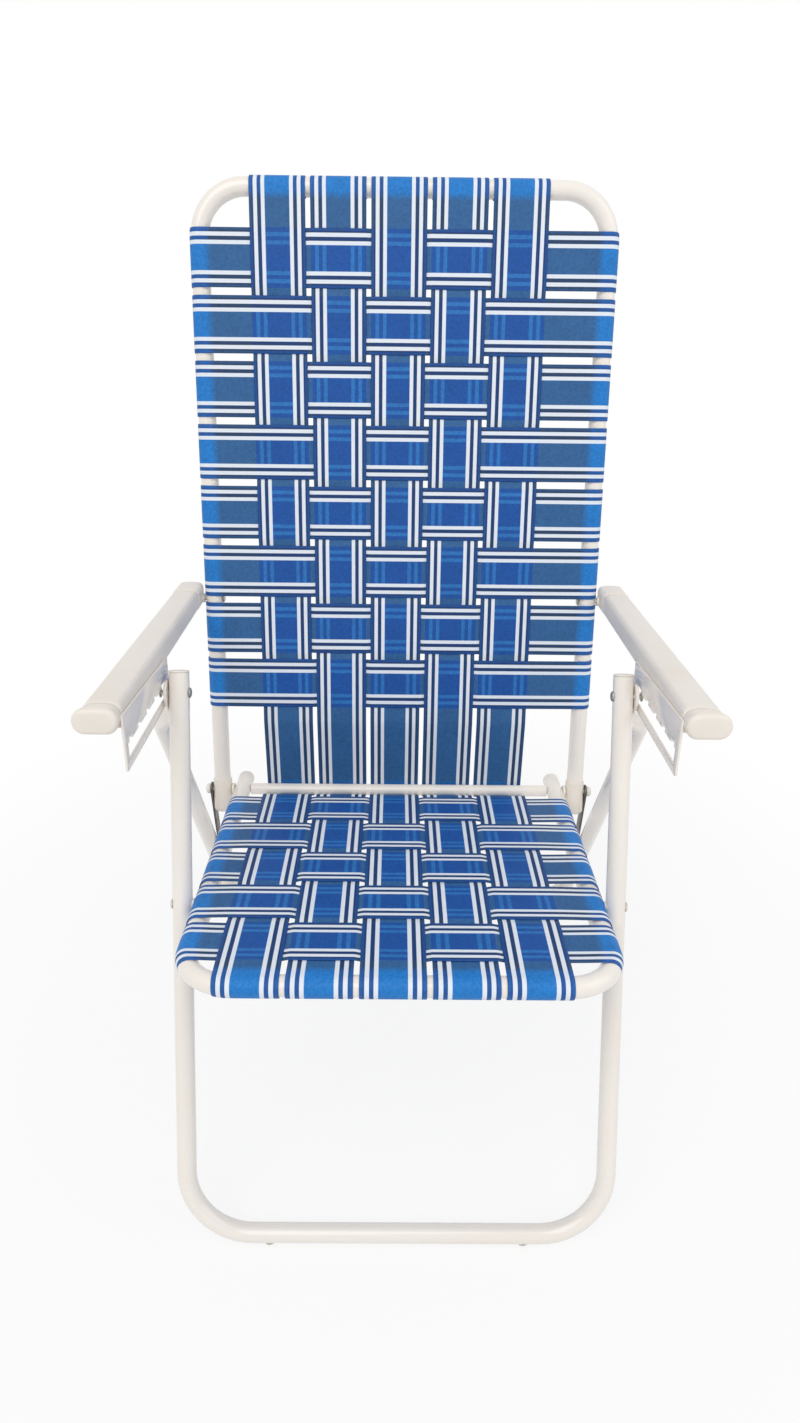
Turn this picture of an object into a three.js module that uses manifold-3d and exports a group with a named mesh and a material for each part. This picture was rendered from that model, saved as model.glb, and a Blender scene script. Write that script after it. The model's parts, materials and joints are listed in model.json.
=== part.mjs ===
import * as THREE from "three";
import { mergeVertices } from "three/addons/utils/BufferGeometryUtils.js";
import Module from "manifold-3d";

const wasm = await Module();
wasm.setup();

// A folding lawn chair of bent tube with a woven webbing seat and back.
// Millimetres, +Z up, the front faces -Y, and the origin is under the middle of the chair on the floor.

const degrees = Math.PI / 180;

// Clearances
const turnGap = 0.3;
const restGap = 0.2;
const sideGap = 1;
const stemGap = 0.4;
const seatSideGap = 0.7;
const lapGap = 0.4;

// Tube stock
const tubeRadius = 9.5;
const tubeWall = 1.2;
const tubeSides = 14;
const bendSteps = 5;
const roundSides = 12;

// Side view: the hinge line of the back, and the tilts and reaches measured from it
const hingeHeight = 284;
const seatTilt = 8.9 * degrees;
const seatPivotReach = 252;
const frontLegTilt = 23.8 * degrees;
const legPivotReach = 203.5;
const rearLegTilt = 29.6 * degrees;
const linkPivotReach = 363.4;
const backTilt = 14.3 * degrees;
const armPivotReach = 230.4;
const pinDrop = 26.9;

// Front view: half the spacing of the seat tubes, which the other frames are set out from
const seatHalf = 187;

// Lengths and bends of the four tube frames
const legTopStub = 19;
const frontLegBend = 65;
const rearLegBend = 70;
const seatFront = 377;
const seatTail = 27;
const seatBend = 44;
const backTop = 652.3;
const backTail = 24;
const backBend = 48;

// Webbing
const webWidth = 57;
const webThickness = 1.2;
const webGap = 0.3;
const webLift = 0.8;
const webFlatMargin = 1;
const wrapStep = 24 * degrees;
const wrapPast = 10 * degrees;
const columnCount = 5;
const columnPitch = 62;
const columnShift = -5.7;
const rowPitch = 64.3;
const seatRowCount = 5;
const seatFirstRow = 69.8;
const backRowCount = 8;
const backFirstRow = 134;
const webOffset = tubeRadius + webGap + webThickness / 2;

// Stretcher bar and hinge bolts
const barRadius = 6.7;
const boltRadius = 3;
const boltDepth = 30;
const washerRadius = 7;
const washerThickness = 3;
const nutRadius = 6;
const nutLength = 6;
const barWrapRadius = barRadius + webGap + webThickness / 2;
const barLapRadius = barWrapRadius + webThickness + lapGap;
const lapStart = 10 * degrees;
const lapEnd = -45 * degrees;

// Plastic end pieces
const sleeveWall = 1;
const sleeveAbove = 13;
const sleeveFloor = 2.5;
const sleeveFootShare = 0.8;
const plugDome = 7;
const plugStem = 14;
const capThickness = 2;
const capEdgeShare = 0.7;
const capTopShare = 0.85;
const domeSteps = 3;

// Floor glides
const glideRadius = 6;
const glideHeight = 4;
const glideFootShare = 0.6;
const glideEdgeShare = 0.45;
const glideStemRadius = 2.2;
const glideStem = 4;
const glideHalf = 127;

// Pins and rivets
const pinRadius = 2.5;
const headRadius = 5;
const headHeight = 1.8;
const headCrownShare = 0.6;
const spacerRadius = 5;
const linkHeadHeight = 1.4;

// Rear legs: flattened tops beside the front legs
const tongueThickness = 3;
const tongueHalfWidth = 12;
const tongueFlat = 28;
const tongueEnd = 62;
const tonguePlug = 8;
const tongueShoulder = 1;
const tongueSteps = 5;
const tongueEndSteps = 3;
const tongueEndTurn = 80 * degrees;

// Plates
const plateThickness = 2;
const linkThickness = 2.5;
const linkHalfWidth = 8;

// Armrests, measured from the pivot to the rear and from the notch pin to the front
const armRear = 13;
const armRearSeam = 25;
const armPastPin = 145;
const armFrontCap = 15;
const armWidthRear = 27;
const armWidthFront = 31;
const armCapWidth = 37;
const armThickness = 22;
const armRise = 5;
const armSideRound = 9;
const armSideSteps = 6;
const armSpacer = 2.7;
const armSocketDepth = 12;
const armFrontRound = 4;
const armRearRound = 6;
const armEndSteps = 3;

// Notched bracket on each armrest's inner side: from the pin in its first notch, but its top from the pivot
const notchCount = 5;
const notchSetback = 3.1;
const notchFirstWidth = 16;
const notchWidth = 10;
const notchSpacing = 29.5;
const notchAbovePin = 8.6;
const toothAbovePin = 5.3;
const slotBelowPin = 7.9;
const slotBehindPin = 12.1;
const slotPastPin = 126.9;
const bracketBehindPin = 25.1;
const bracketPastPin = 135.9;
const bracketBelowPin = 16.1;
const bracketCorner = 3;
const bracketRearTop = -0.5;
const bracketFrontTop = 7.5;

// Layers across the chair, outward from the front legs
const webOuter = webOffset + webThickness / 2;
const sleeveBore = tubeRadius + stemGap;
const sleeveRadius = sleeveBore + sleeveWall;
const frontLegHalf = seatHalf + webOuter + seatSideGap + tubeRadius;
const backHalf = seatHalf + tubeRadius + turnGap + washerThickness + turnGap + sleeveRadius;
const frontLegOuter = frontLegHalf + tubeRadius;
const tongueInner = frontLegOuter + turnGap;
const tongueOuter = tongueInner + tongueThickness;
const backWebOuter = backHalf + webOuter;
const armInner = backWebOuter + turnGap + armSpacer + turnGap;
const bracketInner = backWebOuter + sideGap;
const bracketOuter = bracketInner + plateThickness;
const linkInner = backWebOuter + turnGap * 2;
const linkOuter = linkInner + linkThickness;
const rearLegHalf = linkOuter + sideGap + tubeRadius;
const throughLength = 4 * rearLegHalf;

// Pivots in the side view, with the hinge line at y = 0
const alongTilt = (tilt, reach) => new THREE.Vector3(0, Math.sin(tilt) * reach, Math.cos(tilt) * reach);
const hinge = new THREE.Vector3(0, 0, hingeHeight);
const seatForward = new THREE.Vector3(0, -Math.cos(seatTilt), Math.sin(seatTilt));
const seatPivot = hinge.clone().addScaledVector(seatForward, seatPivotReach);
const legPivot = seatPivot.clone().add(alongTilt(frontLegTilt, legPivotReach));
const armPivot = hinge.clone().add(alongTilt(backTilt, armPivotReach));
const linkPivot = legPivot.clone().sub(alongTilt(-rearLegTilt, linkPivotReach));
const linkSpan = hinge.distanceTo(linkPivot);
const linkTilt = Math.atan2(hinge.y - linkPivot.y, hinge.z - linkPivot.z);
const pinSpan = armPivot.distanceTo(legPivot);
const pinReach = Math.sqrt(pinSpan ** 2 - pinDrop ** 2);
const armSlope = Math.asin(pinDrop / pinSpan) + Math.atan2(legPivot.z - armPivot.z, armPivot.y - legPivot.y);
const armFront = pinReach + armPastPin;
const armFrontSeam = armFront - armFrontCap;
const railHeight = tubeRadius + glideHeight;
const frontLegDrop = (seatPivot.z - railHeight) / Math.cos(frontLegTilt);
const rearLegDrop = (legPivot.z - railHeight) / Math.cos(rearLegTilt);

// Finishes
const finish = (color, roughness, metalness) =>
  new THREE.MeshStandardMaterial({ color, roughness, metalness });
const paint = () => finish("#efece2", 0.35, 0.1);
const cream = () => finish("#e9e5d6", 0.45, 0);
const webbing = () => finish("#3d78b4", 0.6, 0);
const steel = () => finish("#b9bbb8", 0.35, 0.9);
const darkSteel = () => finish("#4c4e50", 0.5, 0.7);

// A path given by its stations, so that rings stand only where the tube starts, bends and ends
class StationPath extends THREE.Curve {
  constructor(stations) {
    super();
    this.stations = stations;
  }

  stationAt(share) {
    return this.stations[Math.round(share * (this.stations.length - 1))];
  }

  getPoint(share) {
    return this.stationAt(share).point.clone();
  }

  getPointAt(share) {
    return this.getPoint(share);
  }

  getTangentAt(share) {
    return this.stationAt(share).tangent.clone();
  }

  getSpacedPoints() {
    return this.stations.map((station) => station.point.clone());
  }
}

// Stations along straight runs whose inner corners are rounded to one bend radius
function bentStations(corners, bend) {
  const stations = [];
  const last = corners.length - 1;
  const direction = (a, b) => b.clone().sub(a).normalize();
  stations.push({ point: corners[0], tangent: direction(corners[0], corners[1]) });
  for (let i = 1; i < last; i += 1) {
    const into = direction(corners[i - 1], corners[i]);
    const out = direction(corners[i], corners[i + 1]);
    const turn = into.angleTo(out);
    const inward = out.clone().sub(into).normalize();
    const centre = corners[i].clone().addScaledVector(inward, bend / Math.cos(turn / 2));
    const axis = into.clone().cross(out).normalize();
    const start = corners[i].clone().addScaledVector(into, -bend * Math.tan(turn / 2)).sub(centre);
    for (let step = 0; step <= bendSteps; step += 1) {
      const angle = (turn * step) / bendSteps;
      const point = start.clone().applyAxisAngle(axis, angle).add(centre);
      stations.push({ point, tangent: into.clone().applyAxisAngle(axis, angle) });
    }
  }
  stations.push({ point: corners[last], tangent: direction(corners[last - 1], corners[last]) });
  return stations;
}

const ringPoints = (radius, sides) =>
  Array.from({ length: sides }, (_, i) => {
    const angle = (2 * Math.PI * i) / sides;
    return new THREE.Vector2(radius * Math.cos(angle), radius * Math.sin(angle));
  });

// Hollow tube along a bent path, open at both ends
function bentTube(corners, bend) {
  const section = new THREE.Shape(ringPoints(tubeRadius, tubeSides));
  section.holes.push(new THREE.Path(ringPoints(tubeRadius - tubeWall, tubeSides)));
  const stations = bentStations(corners, bend);
  return new THREE.ExtrudeGeometry(section, {
    steps: stations.length - 1,
    extrudePath: new StationPath(stations),
  });
}

// Solids for cutting and joining
function solidOf(geometry) {
  const bare = geometry.clone();
  bare.deleteAttribute("normal");
  bare.deleteAttribute("uv");
  const merged = mergeVertices(bare, 1e-3);
  return new wasm.Manifold(
    new wasm.Mesh({
      numProp: 3,
      vertProperties: Float32Array.from(merged.attributes.position.array),
      triVerts: Uint32Array.from(merged.index.array),
    }),
  );
}

function geometryOf(solid) {
  const mesh = solid.getMesh();
  const geometry = new THREE.BufferGeometry();
  geometry.setAttribute("position", new THREE.BufferAttribute(mesh.vertProperties, 3));
  geometry.setIndex(new THREE.BufferAttribute(mesh.triVerts, 1));
  const flat = geometry.toNonIndexed();
  flat.computeVertexNormals();
  return flat;
}

const cut = (geometry, drills) =>
  geometryOf(drills.reduce((solid, drill) => solid.subtract(solidOf(drill)), solidOf(geometry)));

// Round drill across the chair at a point of the side view
function crossDrill(radius, y, z, x = 0, length = throughLength) {
  const drill = new THREE.CylinderGeometry(radius, radius, length, roundSides);
  drill.rotateZ(Math.PI / 2);
  drill.translate(x, y, z);
  return drill;
}

// Turned piece: pairs of a place along the axis and a radius, from one end on the axis to the other
function turned(profile) {
  const points = profile.map(([along, radius]) => new THREE.Vector2(radius, along));
  return new THREE.LatheGeometry(points, roundSides);
}

// Turned piece on an axis across the chair, drawn outward for the side +1 or -1
function turnedAcross(profile, side) {
  const geometry = turned(profile);
  geometry.rotateZ((-side * Math.PI) / 2);
  return geometry;
}

// Profile of a dome that ends on the axis
const domeProfile = (start, radius, height) =>
  Array.from({ length: domeSteps + 1 }, (_, i) => {
    const angle = (Math.PI / 2) * (i / domeSteps);
    return [start + height * Math.sin(angle), i < domeSteps ? radius * Math.cos(angle) : 0];
  });

// Closed skin over a row of rings with equal point counts
function loft(rings) {
  const count = rings[0].length;
  const positions = rings.flat().flatMap((p) => [p.x, p.y, p.z]);
  const faces = [];
  for (let r = 0; r + 1 < rings.length; r += 1) {
    for (let i = 0; i < count; i += 1) {
      const a = r * count + i;
      const b = r * count + ((i + 1) % count);
      faces.push(a, b, b + count, a, b + count, a + count);
    }
  }
  const lastRing = (rings.length - 1) * count;
  for (let i = 1; i + 1 < count; i += 1) {
    faces.push(0, i + 1, i);
    faces.push(lastRing, lastRing + i, lastRing + i + 1);
  }
  const geometry = new THREE.BufferGeometry();
  geometry.setAttribute("position", new THREE.Float32BufferAttribute(positions, 3));
  geometry.setIndex(faces);
  const flat = geometry.toNonIndexed();
  flat.computeVertexNormals();
  return flat;
}

// A shape drawn in the side view, y across and z up, given a width across the chair
function sidePlate(shape, width) {
  const geometry = new THREE.ExtrudeGeometry(shape, { depth: width, bevelEnabled: false, curveSegments: 8 });
  geometry.translate(0, 0, -width / 2);
  const across = new THREE.Vector3(1, 0, 0);
  const back = new THREE.Vector3(0, 1, 0);
  const up = new THREE.Vector3(0, 0, 1);
  return geometry.applyMatrix4(new THREE.Matrix4().makeBasis(back, up, across));
}

function piece(name, geometry, material) {
  const mesh = new THREE.Mesh(geometry, material);
  mesh.name = name;
  return mesh;
}

// A group whose own frame stands at a pivot and leans by a turn about X
function bodyAt(pivot, turn) {
  const group = new THREE.Group();
  group.position.copy(pivot);
  group.rotation.x = turn;
  return group;
}

const sides = [
  { name: "left", sign: -1 },
  { name: "right", sign: 1 },
];

// Corners of a U-shaped frame standing on its rail, from the left top to the right top
const standingU = (half, top, rail) => [
  new THREE.Vector3(-half, 0, top),
  new THREE.Vector3(-half, 0, rail),
  new THREE.Vector3(half, 0, rail),
  new THREE.Vector3(half, 0, top),
];

// Glide under a floor rail, upright whatever the tilt of the leg
function addGlides(body, prefix, rail, turn) {
  for (const side of sides) {
    const profile = [
      [-railHeight, 0],
      [-railHeight, glideRadius * glideFootShare],
      [-railHeight + glideHeight * glideEdgeShare, glideRadius],
      [-tubeRadius - restGap, glideRadius],
      [-tubeRadius - restGap, glideStemRadius],
      [-tubeRadius + glideStem, glideStemRadius],
      [-tubeRadius + glideStem, 0],
    ];
    const geometry = turned(profile);
    geometry.rotateX(Math.PI / 2 - turn);
    const mesh = piece(`${prefix}_glide_${side.name}`, geometry, cream());
    mesh.position.set(side.sign * glideHalf, 0, rail);
    body.add(mesh);
  }
}

function glideDrills(rail, turn) {
  return sides.map((side) => {
    const radius = glideStemRadius + restGap;
    const drill = new THREE.CylinderGeometry(radius, radius, tubeRadius, roundSides);
    drill.translate(0, -tubeRadius, 0);
    drill.rotateX(Math.PI / 2 - turn);
    drill.translate(side.sign * glideHalf, 0, rail);
    return drill;
  });
}

// Front legs: the frame that the seat and the rear legs hang on
function makeFrontLegs() {
  const turn = -frontLegTilt;
  const body = bodyAt(seatPivot, turn);
  const top = legPivotReach + legTopStub;
  const frame = cut(bentTube(standingU(frontLegHalf, top, -frontLegDrop), frontLegBend), [
    crossDrill(pinRadius + turnGap, 0, legPivotReach),
    crossDrill(boltRadius + turnGap, 0, 0),
    ...glideDrills(-frontLegDrop, turn),
  ]);
  body.add(piece("front_leg_frame", frame, paint()));
  addGlides(body, "front", -frontLegDrop, turn);
  for (const side of sides) {
    const stemRadius = tubeRadius - tubeWall - stemGap;
    const stemEnd = legTopStub - pinRadius - turnGap - sideGap;
    const cap = turned([
      [-stemEnd, 0],
      [-stemEnd, stemRadius],
      [restGap, stemRadius],
      [restGap, tubeRadius],
      [capThickness * capEdgeShare, tubeRadius],
      [capThickness, tubeRadius * capTopShare],
      [capThickness, 0],
    ]);
    cap.rotateX(Math.PI / 2);
    const capMesh = piece(`front_leg_cap_${side.name}`, cap, cream());
    capMesh.position.set(side.sign * frontLegHalf, 0, top);
    body.add(capMesh);

    const innerFace = frontLegHalf - tubeRadius - restGap;
    const pin = turnedAcross(
      [
        [innerFace - headHeight, 0],
        [innerFace - headHeight, headRadius * headCrownShare],
        [innerFace, headRadius],
        [innerFace, pinRadius],
        [tongueOuter + turnGap, pinRadius],
        [tongueOuter + turnGap, headRadius],
        [bracketInner - turnGap, headRadius],
        [bracketInner - turnGap, pinRadius],
        [bracketOuter + turnGap, pinRadius],
        [bracketOuter + turnGap, headRadius],
        [bracketOuter + turnGap + headHeight, headRadius * headCrownShare],
        [bracketOuter + turnGap + headHeight, 0],
      ],
      side.sign,
    );
    const pinMesh = piece(`arm_notch_pin_${side.name}`, pin, steel());
    pinMesh.position.z = legPivotReach;
    body.add(pinMesh);

    const seatInner = seatHalf - tubeRadius - turnGap;
    const seatOuter = seatHalf + tubeRadius + turnGap;
    const rivet = turnedAcross(
      [
        [seatInner - headHeight, 0],
        [seatInner - headHeight, headRadius * headCrownShare],
        [seatInner, headRadius],
        [seatInner, boltRadius],
        [seatOuter, boltRadius],
        [seatOuter, spacerRadius],
        [innerFace, spacerRadius],
        [innerFace, boltRadius],
        [frontLegOuter + restGap, boltRadius],
        [frontLegOuter + restGap, headRadius],
        [frontLegOuter + restGap + headHeight, headRadius * headCrownShare],
        [frontLegOuter + restGap + headHeight, 0],
      ],
      side.sign,
    );
    body.add(piece(`seat_pivot_rivet_${side.name}`, rivet, cream()));
  }
  return body;
}

// Flattened top of a rear leg: from the round tube inward to a thin tongue with a rounded end
function rearLegTongue(sign) {
  const middle = (tongueInner + tongueOuter) / 2;
  const thin = tongueThickness / 2;
  const plugRadius = tubeRadius - tubeWall / 2;
  const stations = [
    { z: -tongueEnd - tonguePlug, x: rearLegHalf, across: plugRadius, deep: plugRadius },
    { z: -tongueEnd, x: rearLegHalf, across: plugRadius, deep: plugRadius },
    { z: -tongueEnd + tongueShoulder, x: rearLegHalf, across: tubeRadius, deep: tubeRadius },
  ];
  for (let i = 1; i <= tongueSteps; i += 1) {
    const share = i / tongueSteps;
    const eased = share * share * (3 - 2 * share);
    stations.push({
      z: THREE.MathUtils.lerp(-tongueEnd + tongueShoulder, -tongueFlat, share),
      x: THREE.MathUtils.lerp(rearLegHalf, middle, eased),
      across: THREE.MathUtils.lerp(tubeRadius, thin, eased),
      deep: THREE.MathUtils.lerp(tubeRadius, tongueHalfWidth, eased),
    });
  }
  for (let i = 0; i <= tongueEndSteps; i += 1) {
    const angle = (tongueEndTurn * i) / tongueEndSteps;
    stations.push({
      z: Math.sin(angle) * tongueHalfWidth,
      x: middle,
      across: thin,
      deep: Math.cos(angle) * tongueHalfWidth,
    });
  }
  const rings = stations.map((station) =>
    ringPoints(1, tubeSides).map(
      (p) => new THREE.Vector3(sign * station.x + p.x * station.across, p.y * station.deep, station.z),
    ),
  );
  return loft(rings);
}

function makeRearLegs() {
  const turn = rearLegTilt;
  const body = bodyAt(legPivot, turn);
  const tube = bentTube(standingU(rearLegHalf, -tongueEnd, -rearLegDrop), rearLegBend);
  const joined = sides.reduce((solid, side) => solid.add(solidOf(rearLegTongue(side.sign))), solidOf(tube));
  const frame = cut(geometryOf(joined), [
    crossDrill(pinRadius + turnGap, 0, 0),
    ...glideDrills(-rearLegDrop, turn),
  ]);
  body.add(piece("rear_leg_frame", frame, paint()));
  addGlides(body, "rear", -rearLegDrop, turn);
  return body;
}

// Strap outline: a centreline of points thickened to both sides
function ribbonShape(line) {
  const half = webThickness / 2;
  const normals = line.slice(1).map((point, i) => {
    const run = point.clone().sub(line[i]).normalize();
    return new THREE.Vector2(-run.y, run.x);
  });
  const offset = (sign) =>
    line.map((point, i) => {
      const before = normals[Math.max(i - 1, 0)];
      const after = normals[Math.min(i, normals.length - 1)];
      const middle = before.clone().add(after).normalize();
      return point.clone().addScaledVector(middle, (sign * half) / middle.dot(before));
    });
  return new THREE.Shape([...offset(-1), ...offset(1).reverse()]);
}

// Points of an arc from one angle to another, both ends included
function arcPoints(centre, radius, from, to) {
  const steps = Math.max(1, Math.ceil(Math.abs(to - from) / wrapStep - 1e-6));
  return Array.from({ length: steps + 1 }, (_, i) => {
    const angle = THREE.MathUtils.lerp(from, to, i / steps);
    return new THREE.Vector2(centre.x + radius * Math.cos(angle), centre.y + radius * Math.sin(angle));
  });
}

const columnPlaces = Array.from(
  { length: columnCount },
  (_, i) => columnShift + (i - (columnCount - 1) / 2) * columnPitch,
);
const rowPlaces = (first, count) => Array.from({ length: count }, (_, i) => first + i * rowPitch);
const flatHalf = webWidth / 2 + webFlatMargin;

// Cross strap: over the left tube, through the columns and round the right tube
function crossStrap(half, columnsOver) {
  const top = Math.PI / 2;
  const line = [
    ...arcPoints(new THREE.Vector2(-half, 0), webOffset, 1.5 * Math.PI + wrapPast, top),
    ...columnPlaces.flatMap((place, i) => {
      const level = webOffset + (columnsOver(i) ? -webLift : webLift);
      return [new THREE.Vector2(place - flatHalf, level), new THREE.Vector2(place + flatHalf, level)];
    }),
    ...arcPoints(new THREE.Vector2(half, 0), webOffset, top, -top - wrapPast),
  ];
  const strap = ribbonShape(line.reverse());
  const geometry = new THREE.ExtrudeGeometry(strap, { depth: webWidth, bevelEnabled: false });
  return geometry.translate(0, 0, -webWidth / 2);
}

// The angle at which a strap from a point leaves a round bar, on the side given by the sign
function leavingAngle(point, radius, sign) {
  return Math.atan2(point.y, point.x) + sign * Math.acos(radius / point.length());
}

// On the back the odd columns lie over row 1, counted from the top, and the rows alternate below it
const backColumnOver = (column, rowFromBottom) => (column + backRowCount - 1 - rowFromBottom) % 2 === 0;
// On the seat the odd columns lie over row 1, counted from the rear
const seatColumnOver = (column, row) => (column + row) % 2 === 0;

// Long strap of the back: round the top rail, down through the rows and behind the stretcher bar
function backLongStrap(column) {
  const rows = rowPlaces(backFirstRow, backRowCount);
  const rail = new THREE.Vector2(0, backTop);
  const woven = rows.flatMap((place, row) => {
    const level = -(webOffset + (backColumnOver(column, row) ? webLift : -webLift));
    return [new THREE.Vector2(level, place - flatHalf), new THREE.Vector2(level, place + flatHalf)];
  });
  const leave = leavingAngle(woven[0], barLapRadius, -1);
  const line = [
    ...arcPoints(new THREE.Vector2(0, 0), barLapRadius, lapEnd, leave),
    ...woven,
    ...arcPoints(rail, webOffset, Math.PI, -Math.PI / 2 - wrapPast),
  ];
  return sidePlate(ribbonShape(line), webWidth);
}

// Long strap of the seat: up from under the stretcher bar, through the rows and round the front rail
function seatLongStrap(column) {
  const rows = rowPlaces(seatFirstRow, seatRowCount);
  const rail = new THREE.Vector2(-seatFront, 0);
  const woven = rows.flatMap((place, row) => {
    const level = webOffset + (seatColumnOver(column, row) ? webLift : -webLift);
    return [new THREE.Vector2(-place + flatHalf, level), new THREE.Vector2(-place - flatHalf, level)];
  });
  const leave = leavingAngle(woven[0], barWrapRadius, 1) - 2 * Math.PI;
  const line = [
    ...arcPoints(new THREE.Vector2(0, 0), barWrapRadius, lapStart, leave),
    ...woven,
    ...arcPoints(rail, webOffset, Math.PI / 2, 1.5 * Math.PI + wrapPast),
  ];
  return sidePlate(ribbonShape(line.reverse()), webWidth);
}

function makeSeat() {
  const body = bodyAt(hinge, -seatTilt);
  const corners = [
    new THREE.Vector3(-seatHalf, seatTail, 0),
    new THREE.Vector3(-seatHalf, -seatFront, 0),
    new THREE.Vector3(seatHalf, -seatFront, 0),
    new THREE.Vector3(seatHalf, seatTail, 0),
  ];
  const frame = cut(bentTube(corners, seatBend), [
    crossDrill(boltRadius + turnGap, 0, 0),
    crossDrill(boltRadius + turnGap, -seatPivotReach, 0),
  ]);
  body.add(piece("seat_frame", frame, paint()));
  for (const side of sides) {
    const stemRadius = tubeRadius - tubeWall - stemGap;
    const plug = turned([
      [-plugStem, 0],
      [-plugStem, stemRadius],
      [restGap, stemRadius],
      ...domeProfile(restGap, tubeRadius, plugDome - restGap),
    ]);
    const mesh = piece(`seat_tube_plug_${side.name}`, plug, cream());
    mesh.position.set(side.sign * seatHalf, seatTail, 0);
    body.add(mesh);
  }
  rowPlaces(seatFirstRow, seatRowCount).forEach((reach, row) => {
    const strap = crossStrap(seatHalf, (column) => seatColumnOver(column, row));
    strap.rotateX(Math.PI / 2);
    strap.translate(0, -reach, 0);
    const crossesPivot = Math.abs(reach - seatPivotReach) < webWidth / 2;
    const pivotDrill = crossDrill(spacerRadius + turnGap, -seatPivotReach, 0);
    const drilled = crossesPivot ? cut(strap, [pivotDrill]) : strap;
    body.add(piece(`seat_cross_strap_${row + 1}`, drilled, webbing()));
  });
  columnPlaces.forEach((place, column) => {
    const strap = piece(`seat_long_strap_${column + 1}`, seatLongStrap(column), webbing());
    strap.position.x = place;
    body.add(strap);
  });
  return body;
}

// Stretcher bar between the seat tubes, with a hinge bolt in each end
function makeHingeBar() {
  const body = bodyAt(hinge, 0);
  const seatInner = seatHalf - tubeRadius - turnGap;
  const barGeometry = new THREE.CylinderGeometry(barRadius, barRadius, 2 * seatInner, tubeSides);
  barGeometry.rotateZ(Math.PI / 2);
  const barEnds = sides.map((side) => {
    const depth = boltDepth + restGap;
    const middle = side.sign * (seatInner - depth / 2 + restGap);
    return crossDrill(boltRadius + restGap, 0, 0, middle, depth + restGap);
  });
  body.add(piece("stretcher_bar", cut(barGeometry, barEnds), paint()));
  for (const side of sides) {
    const washerInner = seatHalf + tubeRadius + turnGap;
    const washerOuter = backHalf - sleeveRadius - turnGap;
    const nutInner = linkOuter + turnGap;
    const bolt = turnedAcross(
      [
        [seatInner - boltDepth, 0],
        [seatInner - boltDepth, boltRadius],
        [washerInner, boltRadius],
        [washerInner, washerRadius],
        [washerOuter, washerRadius],
        [washerOuter, boltRadius],
        [nutInner, boltRadius],
        [nutInner, nutRadius],
        ...domeProfile(nutInner + nutLength / 2, nutRadius, nutLength / 2),
      ],
      side.sign,
    );
    body.add(piece(`hinge_bolt_${side.name}`, bolt, cream()));
  }
  return body;
}

function makeBack() {
  const body = bodyAt(hinge, -backTilt);
  const corners = standingU(backHalf, -backTail, backTop);
  const frame = cut(bentTube(corners, backBend), [
    crossDrill(boltRadius + turnGap, 0, 0),
    crossDrill(pinRadius + turnGap, 0, armPivotReach),
  ]);
  body.add(piece("back_frame", frame, paint()));
  for (const side of sides) {
    const bottom = -backTail - restGap - sleeveFloor;
    const cup = turned([
      [bottom, 0],
      [bottom, sleeveRadius * sleeveFootShare],
      [bottom + sleeveFloor * sleeveFootShare, sleeveRadius],
      [sleeveAbove, sleeveRadius],
      [sleeveAbove, sleeveBore],
      [-backTail - restGap, sleeveBore],
      [-backTail - restGap, 0],
    ]);
    cup.rotateX(Math.PI / 2);
    const sleeve = cut(cup, [crossDrill(boltRadius + turnGap, 0, 0)]);
    const mesh = piece(`back_end_sleeve_${side.name}`, sleeve, cream());
    mesh.position.x = side.sign * backHalf;
    body.add(mesh);
  }
  rowPlaces(backFirstRow, backRowCount).forEach((reach, row) => {
    const strap = crossStrap(backHalf, (column) => backColumnOver(column, row));
    strap.rotateX(Math.PI);
    strap.translate(0, 0, reach);
    body.add(piece(`back_cross_strap_${backRowCount - row}`, strap, webbing()));
  });
  columnPlaces.forEach((place, column) => {
    const strap = piece(`back_long_strap_${column + 1}`, backLongStrap(column), webbing());
    strap.position.x = place;
    body.add(strap);
  });
  return body;
}

// Flat link from the hinge bolt down to the inner side of the rear leg, with a short rivet at its foot
function makeLink(side) {
  const body = bodyAt(hinge, -linkTilt);
  const outline = new THREE.Shape();
  outline.absarc(0, -linkSpan, linkHalfWidth, Math.PI, 2 * Math.PI);
  outline.absarc(0, 0, linkHalfWidth, 0, Math.PI);
  const upper = new THREE.Path().absarc(0, 0, boltRadius + turnGap, 0, 2 * Math.PI, true);
  const lower = new THREE.Path().absarc(0, -linkSpan, pinRadius + restGap, 0, 2 * Math.PI, true);
  outline.holes.push(lower, upper);
  const plate = piece(`rear_link_${side.name}`, sidePlate(outline, linkThickness), darkSteel());
  plate.position.x = (side.sign * (linkInner + linkOuter)) / 2;
  body.add(plate);
  const rivetEnd = rearLegHalf - tubeRadius - turnGap;
  const rivet = turnedAcross(
    [
      [linkInner - restGap - linkHeadHeight, 0],
      [linkInner - restGap - linkHeadHeight, headRadius * headCrownShare],
      [linkInner - restGap, headRadius],
      [linkInner - restGap, pinRadius],
      [linkOuter + restGap, pinRadius],
      [linkOuter + restGap, headRadius],
      [rivetEnd, headRadius],
      [rivetEnd, 0],
    ],
    side.sign,
  );
  const rivetMesh = piece(`link_rivet_${side.name}`, rivet, steel());
  rivetMesh.position.z = -linkSpan;
  body.add(rivetMesh);
  return body;
}

// Rivet that carries the rear of an armrest on the back tube
function makeArmRivet(side) {
  const body = bodyAt(armPivot, 0);
  const innerFace = backHalf - tubeRadius - turnGap;
  const rivet = turnedAcross(
    [
      [innerFace - headHeight, 0],
      [innerFace - headHeight, headRadius * headCrownShare],
      [innerFace, headRadius],
      [innerFace, pinRadius],
      [backWebOuter + turnGap, pinRadius],
      [backWebOuter + turnGap, spacerRadius],
      [armInner - turnGap, spacerRadius],
      [armInner - turnGap, pinRadius],
      [armInner + armSocketDepth, pinRadius],
      [armInner + armSocketDepth, 0],
    ],
    side.sign,
  );
  body.add(piece(`arm_pivot_rivet_${side.name}`, rivet, steel()));
  return body;
}

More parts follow.
